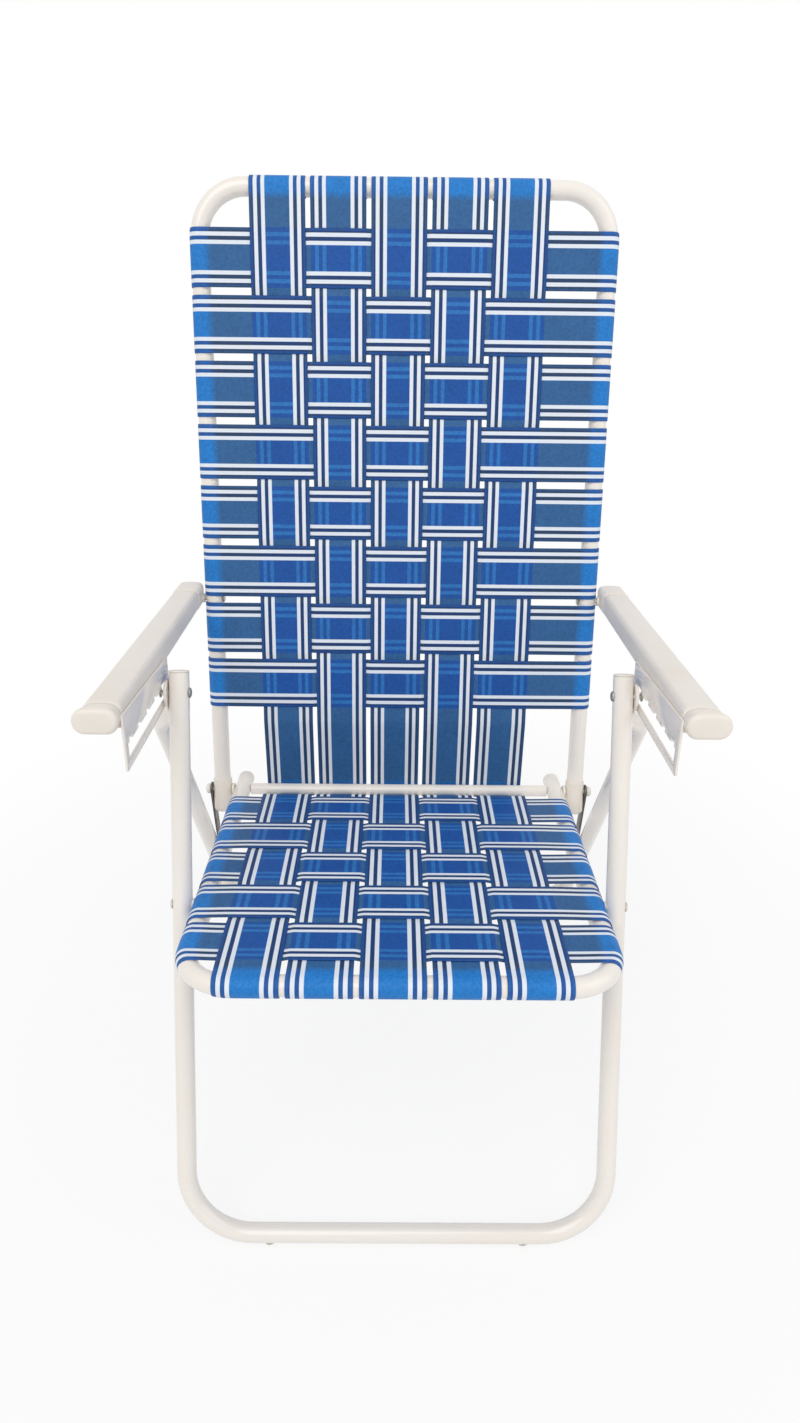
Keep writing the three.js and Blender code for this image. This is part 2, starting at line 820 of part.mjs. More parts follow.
// Part of an armrest's rounded side, between two angles counted in quarter turns from the outer side
function armSide(middle, fromQuarter, toQuarter) {
  const steps = Math.round(Math.abs(toQuarter - fromQuarter) * (armSideSteps / 2));
  return Array.from({ length: steps + 1 }, (_, i) => {
    const angle = (Math.PI / 2) * THREE.MathUtils.lerp(fromQuarter, toQuarter, i / steps);
    return [middle + armSideRound * Math.cos(angle), (armThickness / 2) * Math.sin(angle)];
  });
}

// Section of an armrest: the rail stands square on its inner lower edge, the caps are round on both sides
function armSection(width, inset, isCap) {
  const outer = armSide(width - armSideRound, -1, 1);
  const inner = isCap ? armSide(armSideRound, 1, 3) : armSide(armSideRound, 1, 2);
  const outline = isCap ? [...outer, ...inner] : [...outer, ...inner, [0, -armThickness / 2]];
  const middle = width / 2;
  const acrossShare = 1 - inset / middle;
  const upShare = 1 - inset / (armThickness / 2);
  return outline.map(([x, z]) => new THREE.Vector2(middle + (x - middle) * acrossShare, z * upShare));
}

const armWidthAt = (reach) =>
  THREE.MathUtils.lerp(armWidthRear, armWidthFront, THREE.MathUtils.clamp(reach / armFront, 0, 1));

// Ring of an armrest at a reach forward of its pivot
function armRing(sign, reach, width, inset, isCap) {
  const ring = armSection(width, inset, isCap).map(
    (p) => new THREE.Vector3(sign * (armInner + p.x), -reach, armRise + p.y),
  );
  return sign > 0 ? ring : ring.reverse();
}

// Cap of an armrest from its seam to its flat tip, with a rounded edge
function armCapRings(sign, seam, tip, tipWidth, round) {
  const seamWidth = armWidthAt(seam);
  const rings = [armRing(sign, seam, seamWidth, 0, true)];
  const roundStart = tip - Math.sign(tip - seam) * round;
  for (let i = 0; i <= armEndSteps; i += 1) {
    const angle = (Math.PI / 2) * (i / armEndSteps);
    const reach = THREE.MathUtils.lerp(roundStart, tip, Math.sin(angle));
    const width = THREE.MathUtils.mapLinear(reach, seam, tip, seamWidth, tipWidth);
    rings.push(armRing(sign, reach, width, round * (1 - Math.cos(angle)), true));
  }
  return rings;
}

// Bracket plate on the armrest's inner side: its slot has square notches in the upper edge for the pin
function bracketShape() {
  const rear = -(pinReach - bracketBehindPin);
  const front = -(pinReach + bracketPastPin);
  const bottom = -pinDrop - bracketBelowPin;
  const corner = bottom + bracketCorner;
  const outline = new THREE.Shape();
  outline.moveTo(rear, bracketRearTop);
  outline.lineTo(front, bracketFrontTop);
  outline.lineTo(front, corner);
  outline.absarc(front + bracketCorner, corner, bracketCorner, Math.PI, 1.5 * Math.PI);
  outline.lineTo(rear - bracketCorner, bottom);
  outline.absarc(rear - bracketCorner, corner, bracketCorner, 1.5 * Math.PI, 2 * Math.PI);
  const notchTop = -pinDrop + notchAbovePin;
  const toothTip = -pinDrop + toothAbovePin;
  const slotFloor = -pinDrop - slotBelowPin;
  const slotRear = pinReach - slotBehindPin;
  const slotFront = pinReach + slotPastPin;
  const slot = [[slotRear, slotFloor]];
  slot.push([slotRear, toothTip]);
  for (let i = 0; i < notchCount; i += 1) {
    const middle = pinReach - notchSetback + i * notchSpacing + (i > 0 ? pinRadius : 0);
    const half = (i > 0 ? notchWidth : notchFirstWidth) / 2;
    slot.push([middle - half, toothTip], [middle - half, notchTop]);
    slot.push([middle + half, notchTop], [middle + half, toothTip]);
  }
  slot.push([slotFront, toothTip], [slotFront, slotFloor]);
  outline.holes.push(new THREE.Path(slot.map(([reach, z]) => new THREE.Vector2(-reach, z))));
  return outline;
}

function makeArm(side) {
  const body = bodyAt(armPivot, -armSlope);
  const sign = side.sign;
  const railEnds = [armRearSeam + restGap, armFrontSeam - restGap];
  const rail = loft(railEnds.map((reach) => armRing(sign, reach, armWidthAt(reach), 0, false)));
  body.add(piece(`armrest_${side.name}`, rail, cream()));
  const front = loft(armCapRings(sign, armFrontSeam, armFront, armCapWidth, armFrontRound));
  body.add(piece(`armrest_front_cap_${side.name}`, front, cream()));
  const socket = crossDrill(pinRadius + turnGap, 0, 0, sign * armInner, 2 * (armSocketDepth + turnGap));
  const rearRings = armCapRings(sign, armRearSeam, -armRear, armWidthRear, armRearRound).reverse();
  const rear = cut(loft(rearRings), [socket]);
  body.add(piece(`armrest_rear_cap_${side.name}`, rear, cream()));
  const bracket = piece(`notch_bracket_${side.name}`, sidePlate(bracketShape(), plateThickness), paint());
  bracket.position.x = (sign * (bracketInner + bracketOuter)) / 2;
  body.add(bracket);
  return body;
}

// The whole chair, moved so that the middle of its footprint is the origin
const chair = new THREE.Group();
chair.add(makeFrontLegs(), makeRearLegs(), makeSeat(), makeHingeBar(), makeBack());
for (const side of sides) {
  chair.add(makeLink(side), makeArmRivet(side), makeArm(side));
}
chair.updateMatrixWorld(true);
const extent = new THREE.Box3().setFromObject(chair, true);
chair.children.forEach((body) => {
  body.position.x -= (extent.min.x + extent.max.x) / 2;
  body.position.y -= (extent.min.y + extent.max.y) / 2;
  body.position.z -= extent.min.z;
});

export default chair;
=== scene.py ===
import json
import math

import bmesh
import bpy
import numpy as np
from mathutils import Matrix, Vector
from mathutils.geometry import tessellate_polygon


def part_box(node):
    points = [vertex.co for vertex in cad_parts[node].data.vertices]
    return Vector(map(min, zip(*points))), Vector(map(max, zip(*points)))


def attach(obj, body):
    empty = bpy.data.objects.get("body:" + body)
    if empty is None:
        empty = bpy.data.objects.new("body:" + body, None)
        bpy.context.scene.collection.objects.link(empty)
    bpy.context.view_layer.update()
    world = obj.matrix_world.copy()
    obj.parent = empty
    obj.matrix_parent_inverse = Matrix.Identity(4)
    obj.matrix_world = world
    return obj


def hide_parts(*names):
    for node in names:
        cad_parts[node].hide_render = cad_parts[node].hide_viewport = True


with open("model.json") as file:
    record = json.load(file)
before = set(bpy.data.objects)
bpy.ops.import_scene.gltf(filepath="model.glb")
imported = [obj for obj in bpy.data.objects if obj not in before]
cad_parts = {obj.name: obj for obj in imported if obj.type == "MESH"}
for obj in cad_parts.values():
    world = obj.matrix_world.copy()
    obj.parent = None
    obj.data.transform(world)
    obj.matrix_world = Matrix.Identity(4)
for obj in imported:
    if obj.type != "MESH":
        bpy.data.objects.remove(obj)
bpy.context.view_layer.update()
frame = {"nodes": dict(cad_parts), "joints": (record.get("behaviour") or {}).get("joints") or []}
print("chair frame loaded:", len(frame["nodes"]), "nodes")


# lines of the chair, taken from its joints: hinge, seat pivot, leg pivot and arm pivot
def unit(v):
    return v / np.linalg.norm(v)


joints = {joint["name"]: joint for joint in frame["joints"]}
hingePoint, seatPoint, legPoint, armPoint = (
    np.array(joints[name]["pos_m"], float)
    for name in ("back_recline", "seat_fold", "rear_leg_fold", "arm_fold_left")
)
acrossAxis = np.array((1.0, 0.0, 0.0))
legUp = unit(legPoint - seatPoint)
seatForward = unit(seatPoint - hingePoint)
seatUp = np.cross(seatForward, acrossAxis)
backUp = unit(armPoint - hingePoint)
backFront = np.cross(acrossAxis, backUp)
sides = (("left", -1), ("right", 1))


def nodePoints(node):
    mesh = frame["nodes"][node].data
    flat = np.empty(len(mesh.vertices) * 3, np.float32)
    mesh.vertices.foreach_get("co", flat)
    return np.unique(np.round(flat.reshape(-1, 3).astype(float), 6), axis=0)


def reachOf(node, origin, axis):
    reach = (nodePoints(node) - origin) @ axis
    return reach.min(), reach.max()


def middleOf(node):
    low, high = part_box(node)
    return (np.array(low) + np.array(high)) / 2


# colours are written as they look on screen
def screen(red, green, blue):
    def linear(value):
        share = value / 255
        return share / 12.92 if share <= 0.04045 else ((share + 0.055) / 1.055) ** 2.4

    return (linear(red), linear(green), linear(blue), 1.0)


class NodeBench:
    # lays out the nodes of one material or of the sky
    def __init__(self, tree, empty=False):
        if empty:
            tree.nodes.clear()
        self.tree = tree
        self.shader = tree.nodes.get("Principled BSDF")

    def add(self, kind, sockets=(), **settings):
        node = self.tree.nodes.new(kind)
        for key, value in settings.items():
            setattr(node, key, value)
        for key, value in dict(sockets).items():
            self.feed(node.inputs[key], value)
        return node

    def feed(self, socket, value):
        if isinstance(value, bpy.types.NodeSocket):
            self.tree.links.new(value, socket)
        else:
            socket.default_value = value

    def give(self, name, value):
        self.feed(self.shader.inputs[name], value)

    def math(self, operation, first, second=0.0, clamp=False):
        sockets = {0: first, 1: second}
        return self.add("ShaderNodeMath", sockets, operation=operation, use_clamp=clamp).outputs[0]

    def mix(self, share, first, second):
        return self.add("ShaderNodeMix", {0: share, 6: first, 7: second}, data_type="RGBA").outputs[2]

    def noise(self, place, scale, detail, rough=0.55):
        sockets = {"Vector": place, "Scale": scale, "Detail": detail, "Roughness": rough}
        return self.add("ShaderNodeTexNoise", sockets).outputs["Fac"]

    def place(self):
        return self.add("ShaderNodeTexCoord").outputs["Object"]

    def span(self, value, low, high, fromLow=0.0, fromHigh=1.0, curve="LINEAR"):
        sockets = {"Value": value, "From Min": fromLow, "From Max": fromHigh, "To Min": low, "To Max": high}
        return self.add("ShaderNodeMapRange", sockets, interpolation_type=curve).outputs["Result"]

    def bump(self, height, strength, distance):
        sockets = {"Strength": strength, "Distance": distance, "Height": height}
        self.give("Normal", self.add("ShaderNodeBump", sockets).outputs["Normal"])

    def blend(self, share, first, second, outputKind):
        sockets = {0: share, 1: first.outputs[0], 2: second.outputs[0]}
        self.add(outputKind, {0: self.add("ShaderNodeMixShader", sockets).outputs[0]})


def newFinish(name, empty=False):
    material = bpy.data.materials.new(name)
    material.use_nodes = True
    return material, NodeBench(material.node_tree, empty)


# in a look, a noise is scale, detail and roughness, a bump is strength and distance, and a span is
# the two values given, then the two that they stand for

# enamel on the bent tubes: warm white, slightly uneven, with faint scuffs
enamelLook = {
    "colour": (243, 236, 228), "warm": (239, 230, 219), "scuff": (222, 212, 199), "coat": 0.4, "coatRough": 0.08,
    "cloud": (9.0, 4.0), "rub": (150.0, 6.0, 0.7), "ripple": (420.0, 2.0), "bump": (0.03, 0.0003),
    "warmSpan": (0.0, 0.55, 0.45, 0.75), "rubSpan": (0.0, 0.25, 0.66, 0.74), "wornSpan": (0.0, 1.0, 0.5, 0.7),
    "roughSpan": (0.14, 0.24, 0.3, 0.7),
}


def makeEnamel():
    look = enamelLook
    material, bench = newFinish("cream_enamel")
    place = bench.place()
    cloud, rub = bench.noise(place, *look["cloud"]), bench.noise(place, *look["rub"])
    colour = bench.mix(bench.span(cloud, *look["warmSpan"]), screen(*look["colour"]), screen(*look["warm"]))
    scuff = bench.math("MULTIPLY", bench.span(rub, *look["rubSpan"]), bench.span(cloud, *look["wornSpan"]), True)
    bench.give("Base Color", bench.mix(scuff, colour, screen(*look["scuff"])))
    bench.give("Roughness", bench.span(rub, *look["roughSpan"]))
    bench.give("Coat Weight", look["coat"])
    bench.give("Coat Roughness", look["coatRough"])
    bench.bump(bench.noise(place, *look["ripple"]), *look["bump"])
    return material, "white_paint"


# plastics of the armrest rails, the caps, plugs and sleeves, the glides and the white fasteners, and the
# steel of the plated pins and the links, whose dark grey is partly painted shade beside the rear legs
plainLooks = {
    "armrest_plastic": {"colour": (241, 233, 224), "shade": (234, 224, 212), "rough": (0.36, 0.5)},
    "cap_plastic": {"colour": (239, 231, 221), "shade": (231, 221, 208), "rough": (0.34, 0.48)},
    "glide_plastic": {"colour": (206, 198, 186), "shade": (178, 168, 154), "rough": (0.3, 0.42)},
    "white_fastener_gloss": {"colour": (238, 234, 226), "shade": (214, 206, 194), "rough": (0.25, 0.4)},
    "plated_steel_worn": {"colour": (196, 197, 193), "shade": (150, 148, 142), "rough": (0.26, 0.45)},
    # the links' dark grey is partly their steel and partly painted shade, beside the rear legs
    "dark_link_steel_and_shade": {"colour": (112, 108, 103), "shade": (84, 79, 74), "rough": (0.35, 0.55)},
}
plasticGrain = {"stain": (14.0, 4.0), "stainSpan": (0.0, 0.6, 0.42, 0.75), "grain": (1300.0, 2.0),
                "roughBy": "grain", "roughFrom": (0.3, 0.7), "bump": (0.09, 0.0002)}
steelGrain = {"stain": (120.0, 5.0, 0.65), "stainSpan": (0.0, 1.0, 0.4, 0.72), "grain": (900.0, 2.0),
              "roughBy": "stain", "roughFrom": (0.3, 0.7), "bump": (0.06, 0.0002)}


def makePlain(name, slot, surface=plasticGrain, metal=0.0):
    look = plainLooks[name]
    material, bench = newFinish(name)
    place = bench.place()
    noises = {key: bench.noise(place, *surface[key]) for key in ("stain", "grain")}
    shade = bench.span(noises["stain"], *surface["stainSpan"])
    bench.give("Base Color", bench.mix(shade, screen(*look["colour"]), screen(*look["shade"])))
    bench.give("Roughness", bench.span(noises[surface["roughBy"]], *look["rough"], *surface["roughFrom"]))
    bench.give("Metallic", metal)
    bench.bump(noises["grain"], *surface["bump"])
    return material, slot


# sizes of the straps; turns are degrees round the side tubes and the rails; tubeShow and tubeFade set how near a
# tube the painted glow on the tape reaches and how far it fades
webSet = {
    "width": 0.057, "thickness": 0.0009, "lift": 0.0006, "flat": 0.027, "midStep": 0.016, "clear": 0.00015,
    "levelSteps": 7, "wrapTurn": 196, "railTurn": 284, "wrapSteps": 26, "railSteps": 34, "tubeShow": 0.0128,
    "tubeFade": 0.0075, "hem": 0.0005, "hemEnd": 0.0016, "hemThick": (0.22, 0.86), "places": 7,
    "bendLimit": 0.995, "minStep": 2e-5, "sharp": 70,
}

# woven tape: stripes lie across the width, and what is behind the tape shows through it a little as painted
# light: the white stripes of a strap behind as lighter lines, and the white tubes as a brighter blue with a
# painted highlight
tapeLook = {
    # the first three are colours with nothing behind, over a strap and over a tube; the steps between them are
    # painted light through the tape, with a painted glow and highlight over the white tubes
    "field": ((54, 108, 164), (24, 90, 176), (34, 136, 222)),
    "line": ((40, 68, 106), (24, 62, 120), (30, 94, 172)),
    "edge": ((46, 86, 132), (28, 82, 156), (36, 104, 184)),
    # showLine is painted light: a white stripe of the strap behind, seen through the tape
    "showLine": (52, 136, 214),
    "white": (236, 241, 248), "whiteShade": (208, 219, 234),
    "gapShade": (0.0, 0.01, 0.04, 1.0), "cloudShade": (0.012, 0.045, 0.12, 1.0),  # not screen colours
    "stripes": ((0.438, 0.572), (0.708, 0.844)), "edgeStart": 0.905, "soften": 0.006, "showShare": 0.75,
    "warpPitch": 0.0013, "weftPitch": 0.0015, "threadSpan": (0.2, 0.0), "whiteSpan": (0.45, 0.0),
    "cloud": (26.0, 4.0), "cloudSpan": (0.0, 0.16, 0.35, 0.75),
    "slub": (340.0, 3.0, 0.6), "slubSpan": (0.0, 0.26, 0.4, 0.68),
    "roughSpan": (0.42, 0.62), "gloss": 0.3, "bump": (0.35, 0.00025),
}


def stripeMask(bench, share):
    ramp = bench.add("ShaderNodeValToRGB", {"Fac": share})
    stops = [(0.0, 0.0)]
    soft = tapeLook["soften"]
    for low, high in tapeLook["stripes"]:
        stops += [(low - soft, 0.0), (low + soft, 1.0), (high - soft, 1.0), (high + soft, 0.0)]
    elements = ramp.color_ramp.elements
    while len(elements) < len(stops):
        elements.new(0.5)
    for element, (where, level) in zip(elements, stops):
        element.position = where
        element.color = (level, level, level, 1.0)
    return ramp.outputs["Color"]


def makeTape():
    look = tapeLook
    material, bench = newFinish("striped_webbing")

    def strapPlace(label):
        place = bench.add("ShaderNodeUVMap", uv_map=label).outputs["UV"]
        return bench.add("ShaderNodeSeparateXYZ", {0: place}).outputs

    def mark(label):
        return bench.add("ShaderNodeAttribute", attribute_name=label).outputs["Fac"]

    def fromMiddle(value):
        return bench.math("MULTIPLY", bench.math("ABSOLUTE", bench.math("SUBTRACT", value, 0.5)), 2.0)

    def ribs(value, turns):
        return bench.math("SINE", bench.math("MULTIPLY", value, 2 * math.pi * turns))

    own, onStrap, onTube = strapPlace("tape"), mark("onStrap"), mark("onTube")
    mine = fromMiddle(own[0])
    whiteHere = stripeMask(bench, mine)
    whiteBehind = bench.math("MULTIPLY", stripeMask(bench, fromMiddle(strapPlace("behind")[0])), onStrap)

    # threads: lengthwise ribs and cross ribs, uneven yarn and broad clouds
    weave = bench.math("MULTIPLY", ribs(own[0], webSet["width"] / look["warpPitch"]),
                       ribs(own[1], 1 / look["weftPitch"]))
    thread = bench.span(weave, 0.0, 1.0, -1.0, 1.0)
    place = bench.place()
    cloud = bench.span(bench.noise(place, *look["cloud"]), *look["cloudSpan"])
    slub = bench.span(bench.noise(place, *look["slub"]), *look["slubSpan"])

    # byLayer's three colours step up with what lies behind, which is painted light through the tape
    def byLayer(key):
        bare, strap, tube = (screen(*colour) for colour in look[key])
        return bench.mix(onTube, bench.mix(onStrap, bare, strap), tube)

    def beyond(start):
        return bench.math("GREATER_THAN", mine, start)

    # painted light: lighter lines where a white stripe of the strap behind shows through, then field, line and
    # edge colours that brighten over a strap and most over a tube
    shown = bench.math("MULTIPLY", whiteBehind, look["showShare"])
    blue = bench.mix(shown, byLayer("field"), screen(*look["showLine"]))
    blue = bench.mix(beyond(look["stripes"][0][0]), blue, byLayer("line"))
    blue = bench.mix(beyond(look["edgeStart"]), blue, byLayer("edge"))
    blue = bench.mix(bench.span(thread, *look["threadSpan"]), blue, look["gapShade"])
    blue = bench.mix(slub, blue, look["gapShade"])
    blue = bench.mix(cloud, blue, look["cloudShade"])
    white = bench.mix(bench.span(thread, *look["whiteSpan"]), screen(*look["white"]),
                      screen(*look["whiteShade"]))
    bench.give("Base Color", bench.mix(whiteHere, blue, white))
    bench.give("Roughness", bench.span(thread, *look["roughSpan"]))
    bench.give("Specular IOR Level", look["gloss"])
    bench.bump(thread, *look["bump"])
    return material, "webbing"


enamel = makeEnamel()
railPlastic = makePlain("armrest_plastic", "cream_plastic")
moulded = makePlain("cap_plastic", "cream_plastic")
glidePlastic = makePlain("glide_plastic", "cream_plastic")
fastener = makePlain("white_fastener_gloss", "white_fastener")
plated = makePlain("plated_steel_worn", "plated_steel", steelGrain, metal=0.9)
darkSteelAndShade = makePlain("dark_link_steel_and_shade", "dark_link", steelGrain, metal=0.7)
tape = makeTape()
print("finishes ready")


def placed(name, data):
    thing = bpy.data.objects.new(name, data)
    bpy.context.scene.collection.objects.link(thing)
    return thing


def meshPiece(name, points, faces, finish, body, nodes, sharp):
    material, slot = finish
    mesh = bpy.data.meshes.new(name)
    mesh.from_pydata([tuple(p) for p in points], [], faces)
    work = bmesh.new()
    work.from_mesh(mesh)
    bmesh.ops.recalc_face_normals(work, faces=work.faces)
    work.to_mesh(mesh)
    work.free()
    mesh.shade_smooth()
    mesh.set_sharp_from_angle(angle=math.radians(sharp))
    mesh.materials.append(material)
    piece = placed(name, mesh)
    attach(piece, body)
    if nodes:
        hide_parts(*nodes)
    return piece


def skinFaces(ringCount, ringSize, closed=True):
    faces = []
    for ring in range(ringCount - 1):
        for i in range(ringSize):
            a = ring * ringSize + i
            b = ring * ringSize + (i + 1) % ringSize
            faces.append((a, b, b + ringSize, a + ringSize))
    if closed:
        faces.append(tuple(reversed(range(ringSize))))
        faces.append(tuple((ringCount - 1) * ringSize + i for i in range(ringSize)))
    return faces


def skinPiece(name, rings, finish, body, nodes, sharp):
    points = [point for ring in rings for point in ring]
    meshPiece(name, points, skinFaces(len(rings), len(rings[0])), finish, body, nodes, sharp)


# bent tubes
tubeSet = {"radius": 0.0095, "sides": 40, "frontBend": 0.065, "rearBend": 0.070, "seatBend": 0.044,
           "backBend": 0.048, "bendSteps": 20, "straightStep": 0.03, "glideHeight": 0.004, "linkGap": 0.0003,
           "sharp": 50}
tubeRadius = tubeSet["radius"]


def eased(share):
    return share * share * (3 - 2 * share)


def bentLine(corners, bend):
    points, tangents = [], []

    def straight(start, end):
        length = np.linalg.norm(end - start)
        if length < 1e-6:
            return
        for share in np.linspace(0, 1, max(2, int(length / tubeSet["straightStep"]) + 1)):
            points.append(start + (end - start) * share)
            tangents.append(unit(end - start))

    start = corners[0]
    for before, corner, after in zip(corners, corners[1:], corners[2:]):
        into, out = unit(corner - before), unit(after - corner)
        turn = math.acos(np.clip(into @ out, -1, 1))
        inward = unit(out - into * (into @ out))
        cut = bend * math.tan(turn / 2)
        bendStart = corner - into * cut
        straight(start, bendStart)
        for step in range(1, tubeSet["bendSteps"]):
            angle = turn * step / tubeSet["bendSteps"]
            points.append(bendStart + inward * bend * (1 - math.cos(angle)) + into * bend * math.sin(angle))
            tangents.append(into * math.cos(angle) + inward * math.sin(angle))
        start = corner + out * cut
    straight(start, corners[-1])
    return zip(points, tangents)


def tubeRing(point, tangent, normal, deep=tubeRadius, wide=tubeRadius, square=2.0):
    # square above 2 flattens the round section towards a pressed one
    sideways = np.cross(tangent, normal)
    ring = []
    for i in range(tubeSet["sides"]):
        angle = 2 * math.pi * i / tubeSet["sides"]
        c, s = math.cos(angle), math.sin(angle)
        ring.append(point + normal * deep * math.copysign(abs(c) ** (2 / square), c)
                    + sideways * wide * math.copysign(abs(s) ** (2 / square), s))
    return ring


def uCorners(origin, axis, half, openEnd, railEnd):
    corners = (-half, openEnd), (-half, railEnd), (half, railEnd), (half, openEnd)
    return [origin + acrossAxis * x + axis * along for x, along in corners]


def makeTubeFrame(name, node, body, corners, bend, normal):
    rings = [tubeRing(point, tangent, normal) for point, tangent in bentLine(corners, bend)]
    skinPiece(name, rings, enamel, body, [node], tubeSet["sharp"])


railHeight = tubeSet["glideHeight"] + tubeRadius
frontHalf = abs(middleOf("front_leg_cap_left")[0])
seatHalf = abs(middleOf("seat_tube_plug_left")[0])
backHalf = abs(middleOf("back_end_sleeve_left")[0])
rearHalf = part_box("link_rivet_right")[1].x + tubeSet["linkGap"] + tubeRadius
frontRail = np.array((0, middleOf("front_glide_left")[1], railHeight))
rearRail = np.array((0, middleOf("rear_glide_left")[1], railHeight))
frontTop = reachOf("front_leg_frame", seatPoint, legUp)[1]
frontDrop = (frontRail - seatPoint) @ legUp
seatTail, seatFront = reachOf("seat_frame", hingePoint, seatForward)
seatFront -= tubeRadius
backTail, backTop = reachOf("back_frame", hingePoint, backUp)
backTop -= tubeRadius

makeTubeFrame("frontLegTube", "front_leg_frame", "front_legs",
              uCorners(seatPoint, legUp, frontHalf, frontTop, frontDrop),
              tubeSet["frontBend"], np.cross(acrossAxis, legUp))
makeTubeFrame("seatTube", "seat_frame", "seat",
              uCorners(hingePoint, seatForward, seatHalf, seatTail, seatFront), tubeSet["seatBend"], seatUp)
makeTubeFrame("backTube", "back_frame", "back",
              uCorners(hingePoint, backUp, backHalf, backTail, backTop), tubeSet["backBend"], backFront)

# rear legs: the tube's tops are pressed flat and turn in beside the front legs
tongueSet = {"halfThick": 0.0015, "halfWide": 0.012, "flatFrom": 0.028, "roundFrom": 0.062, "steps": 14,
             "endSteps": 9, "endTurn": 86, "tipThin": 0.6, "pressed": 4, "lookWithin": 0.02}


def makeRearLegs():
    down = unit(rearRail - legPoint)
    normal = np.cross(acrossAxis, -down)
    drop = np.linalg.norm(rearRail - legPoint)
    nearPivot = nodePoints("rear_leg_frame")
    nearPivot = np.abs(nearPivot[np.abs((nearPivot - legPoint) @ down) < tongueSet["lookWithin"], 0])
    tongueX = (nearPivot.min() + nearPivot.max()) / 2
    thick, width, roundFrom = tongueSet["halfThick"], tongueSet["halfWide"], tongueSet["roundFrom"]

    def tongue(sign, tangent):
        rings = []
        for share in np.linspace(0, 1, tongueSet["steps"] + 1)[1:]:
            soft = eased(share)
            along = roundFrom + (tongueSet["flatFrom"] - roundFrom) * share
            point = legPoint + acrossAxis * sign * (rearHalf + (tongueX - rearHalf) * soft) + down * along
            deep = tubeRadius + (width - tubeRadius) * soft
            wide = tubeRadius + (thick - tubeRadius) * soft
            rings.append(tubeRing(point, tangent, normal, deep, wide, 2 + (tongueSet["pressed"] - 2) * soft))
        for share in np.linspace(0, 1, tongueSet["endSteps"]):
            angle = math.radians(tongueSet["endTurn"]) * share
            point = legPoint + acrossAxis * sign * tongueX - down * math.sin(angle) * width
            thin = thick * (1 if share < 1 else tongueSet["tipThin"])
            rings.append(tubeRing(point, tangent, normal, math.cos(angle) * width, thin, tongueSet["pressed"]))
        return rings

    line = bentLine(uCorners(legPoint, down, rearHalf, roundFrom, drop), tubeSet["rearBend"])
    middle = [tubeRing(point, tangent, normal) for point, tangent in line]
    skinPiece("rearLegTube", tongue(-1, down)[::-1] + middle + tongue(1, -down), enamel, "rear_legs",
              ["rear_leg_frame"], tubeSet["sharp"])


makeRearLegs()
print("tubes bent")

# armrests: a straight moulded rail with a cap at each end
armSet = {"capRound": 0.0095, "capFlat": 0.0002, "railRound": 0.0055, "foot": 0.0022, "crown": 0.0005,
          "rings": 9, "seamInset": 0.0005, "seamDepth": 0.0006, "seamMid": 0.4, "capGrow": 0.0004,
          "frontRound": 0.0042, "rearRound": 0.0062, "tipStart": 0.95, "tipLift": 0.00008,
          "tipInsets": (0.0025, 0.005), "roundSteps": 6, "sideSteps": 7, "flatSteps": 8, "capSeam": 0.2,
          "capRings": (0.35, 0.7), "railSeam": 0.35, "railSpan": (0.02, 0.98), "sharp": 50}
railPoints = nodePoints("armrest_right")
railMiddle = railPoints[:, 1].mean()
rearEnd = railPoints[railPoints[:, 1] > railMiddle]
frontEnd = railPoints[railPoints[:, 1] <= railMiddle]
armForward = unit((frontEnd.mean(axis=0) - rearEnd.mean(axis=0)) * np.array((0, 1, 1)))
armUp = np.cross(armForward, acrossAxis)
rearReach = ((rearEnd - armPoint) @ armForward).mean()
frontReach = ((frontEnd - armPoint) @ armForward).mean()
armLow, armHigh = reachOf("armrest_right", armPoint, armUp)
capTip = reachOf("armrest_front_cap_right", armPoint, armForward)[1]
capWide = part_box("armrest_front_cap_right")[1].x


def alongArm(reach, rearValue, frontValue):
    return rearValue + (frontValue - rearValue) * (reach - rearReach) / (frontReach - rearReach)


def armInnerAt(reach):
    return alongArm(reach, rearEnd[:, 0].min(), frontEnd[:, 0].min())


def armOuterAt(reach):
    outer = alongArm(reach, rearEnd[:, 0].max(), frontEnd[:, 0].max())
    # the front cap spreads beyond the rail
    spread = (capWide - frontEnd[:, 0].max()) / (capTip - armSet["frontRound"] - frontReach)
    return outer + max(0.0, reach - frontReach) * spread


def armSection(width, height, isCap):
    # the rail is a box with rounded corners and a nearly square inner foot, the front cap has round sides
    half = height / 2
    top, crown = half - armSet["crown"], armSet["crown"]
    if isCap:
        wide = foot = armSet["capRound"]
        tall = footTall = half - armSet["capFlat"]
    else:
        wide = tall = armSet["railRound"]
        foot = footTall = armSet["foot"]
    outline = []

    def arc(middle, level, firstDegree, deep, high):
        for degree in np.linspace(firstDegree, firstDegree + 90, armSet["sideSteps"] + 1):
            angle = math.radians(degree)
            outline.append((middle + deep * math.cos(angle), level + high * math.sin(angle)))

    def run(start, end, level, bow):
        for share in np.linspace(0, 1, armSet["flatSteps"] + 1)[1:-1]:
            outline.append((start + (end - start) * share, level + bow * (1 - (2 * share - 1) ** 2)))

    arc(width - wide, -half + tall, -90, wide, tall)
    arc(width - wide, top - tall, 0, wide, tall)
    run(width - wide, wide, top, crown)
    arc(wide, top - tall, 90, wide, tall)
    arc(foot, -half + footTall, 180, foot, footTall)
    run(foot, width - wide, -half, 0.0)
    return outline


def armRing(sign, reach, inset, isCap):
    inner, outer = armInnerAt(reach), armOuterAt(reach)
    middle, width, height = (inner + outer) / 2, outer - inner, armHigh - armLow
    ring = []
    for x, z in armSection(width, height, isCap):
        across = (x - width / 2) * (width - 2 * inset) / width
        up = z * (height - 2 * inset) / height + (armLow + armHigh) / 2
        ring.append(armPoint + acrossAxis * sign * (middle + across) + armForward * reach + armUp * up)
    return ring


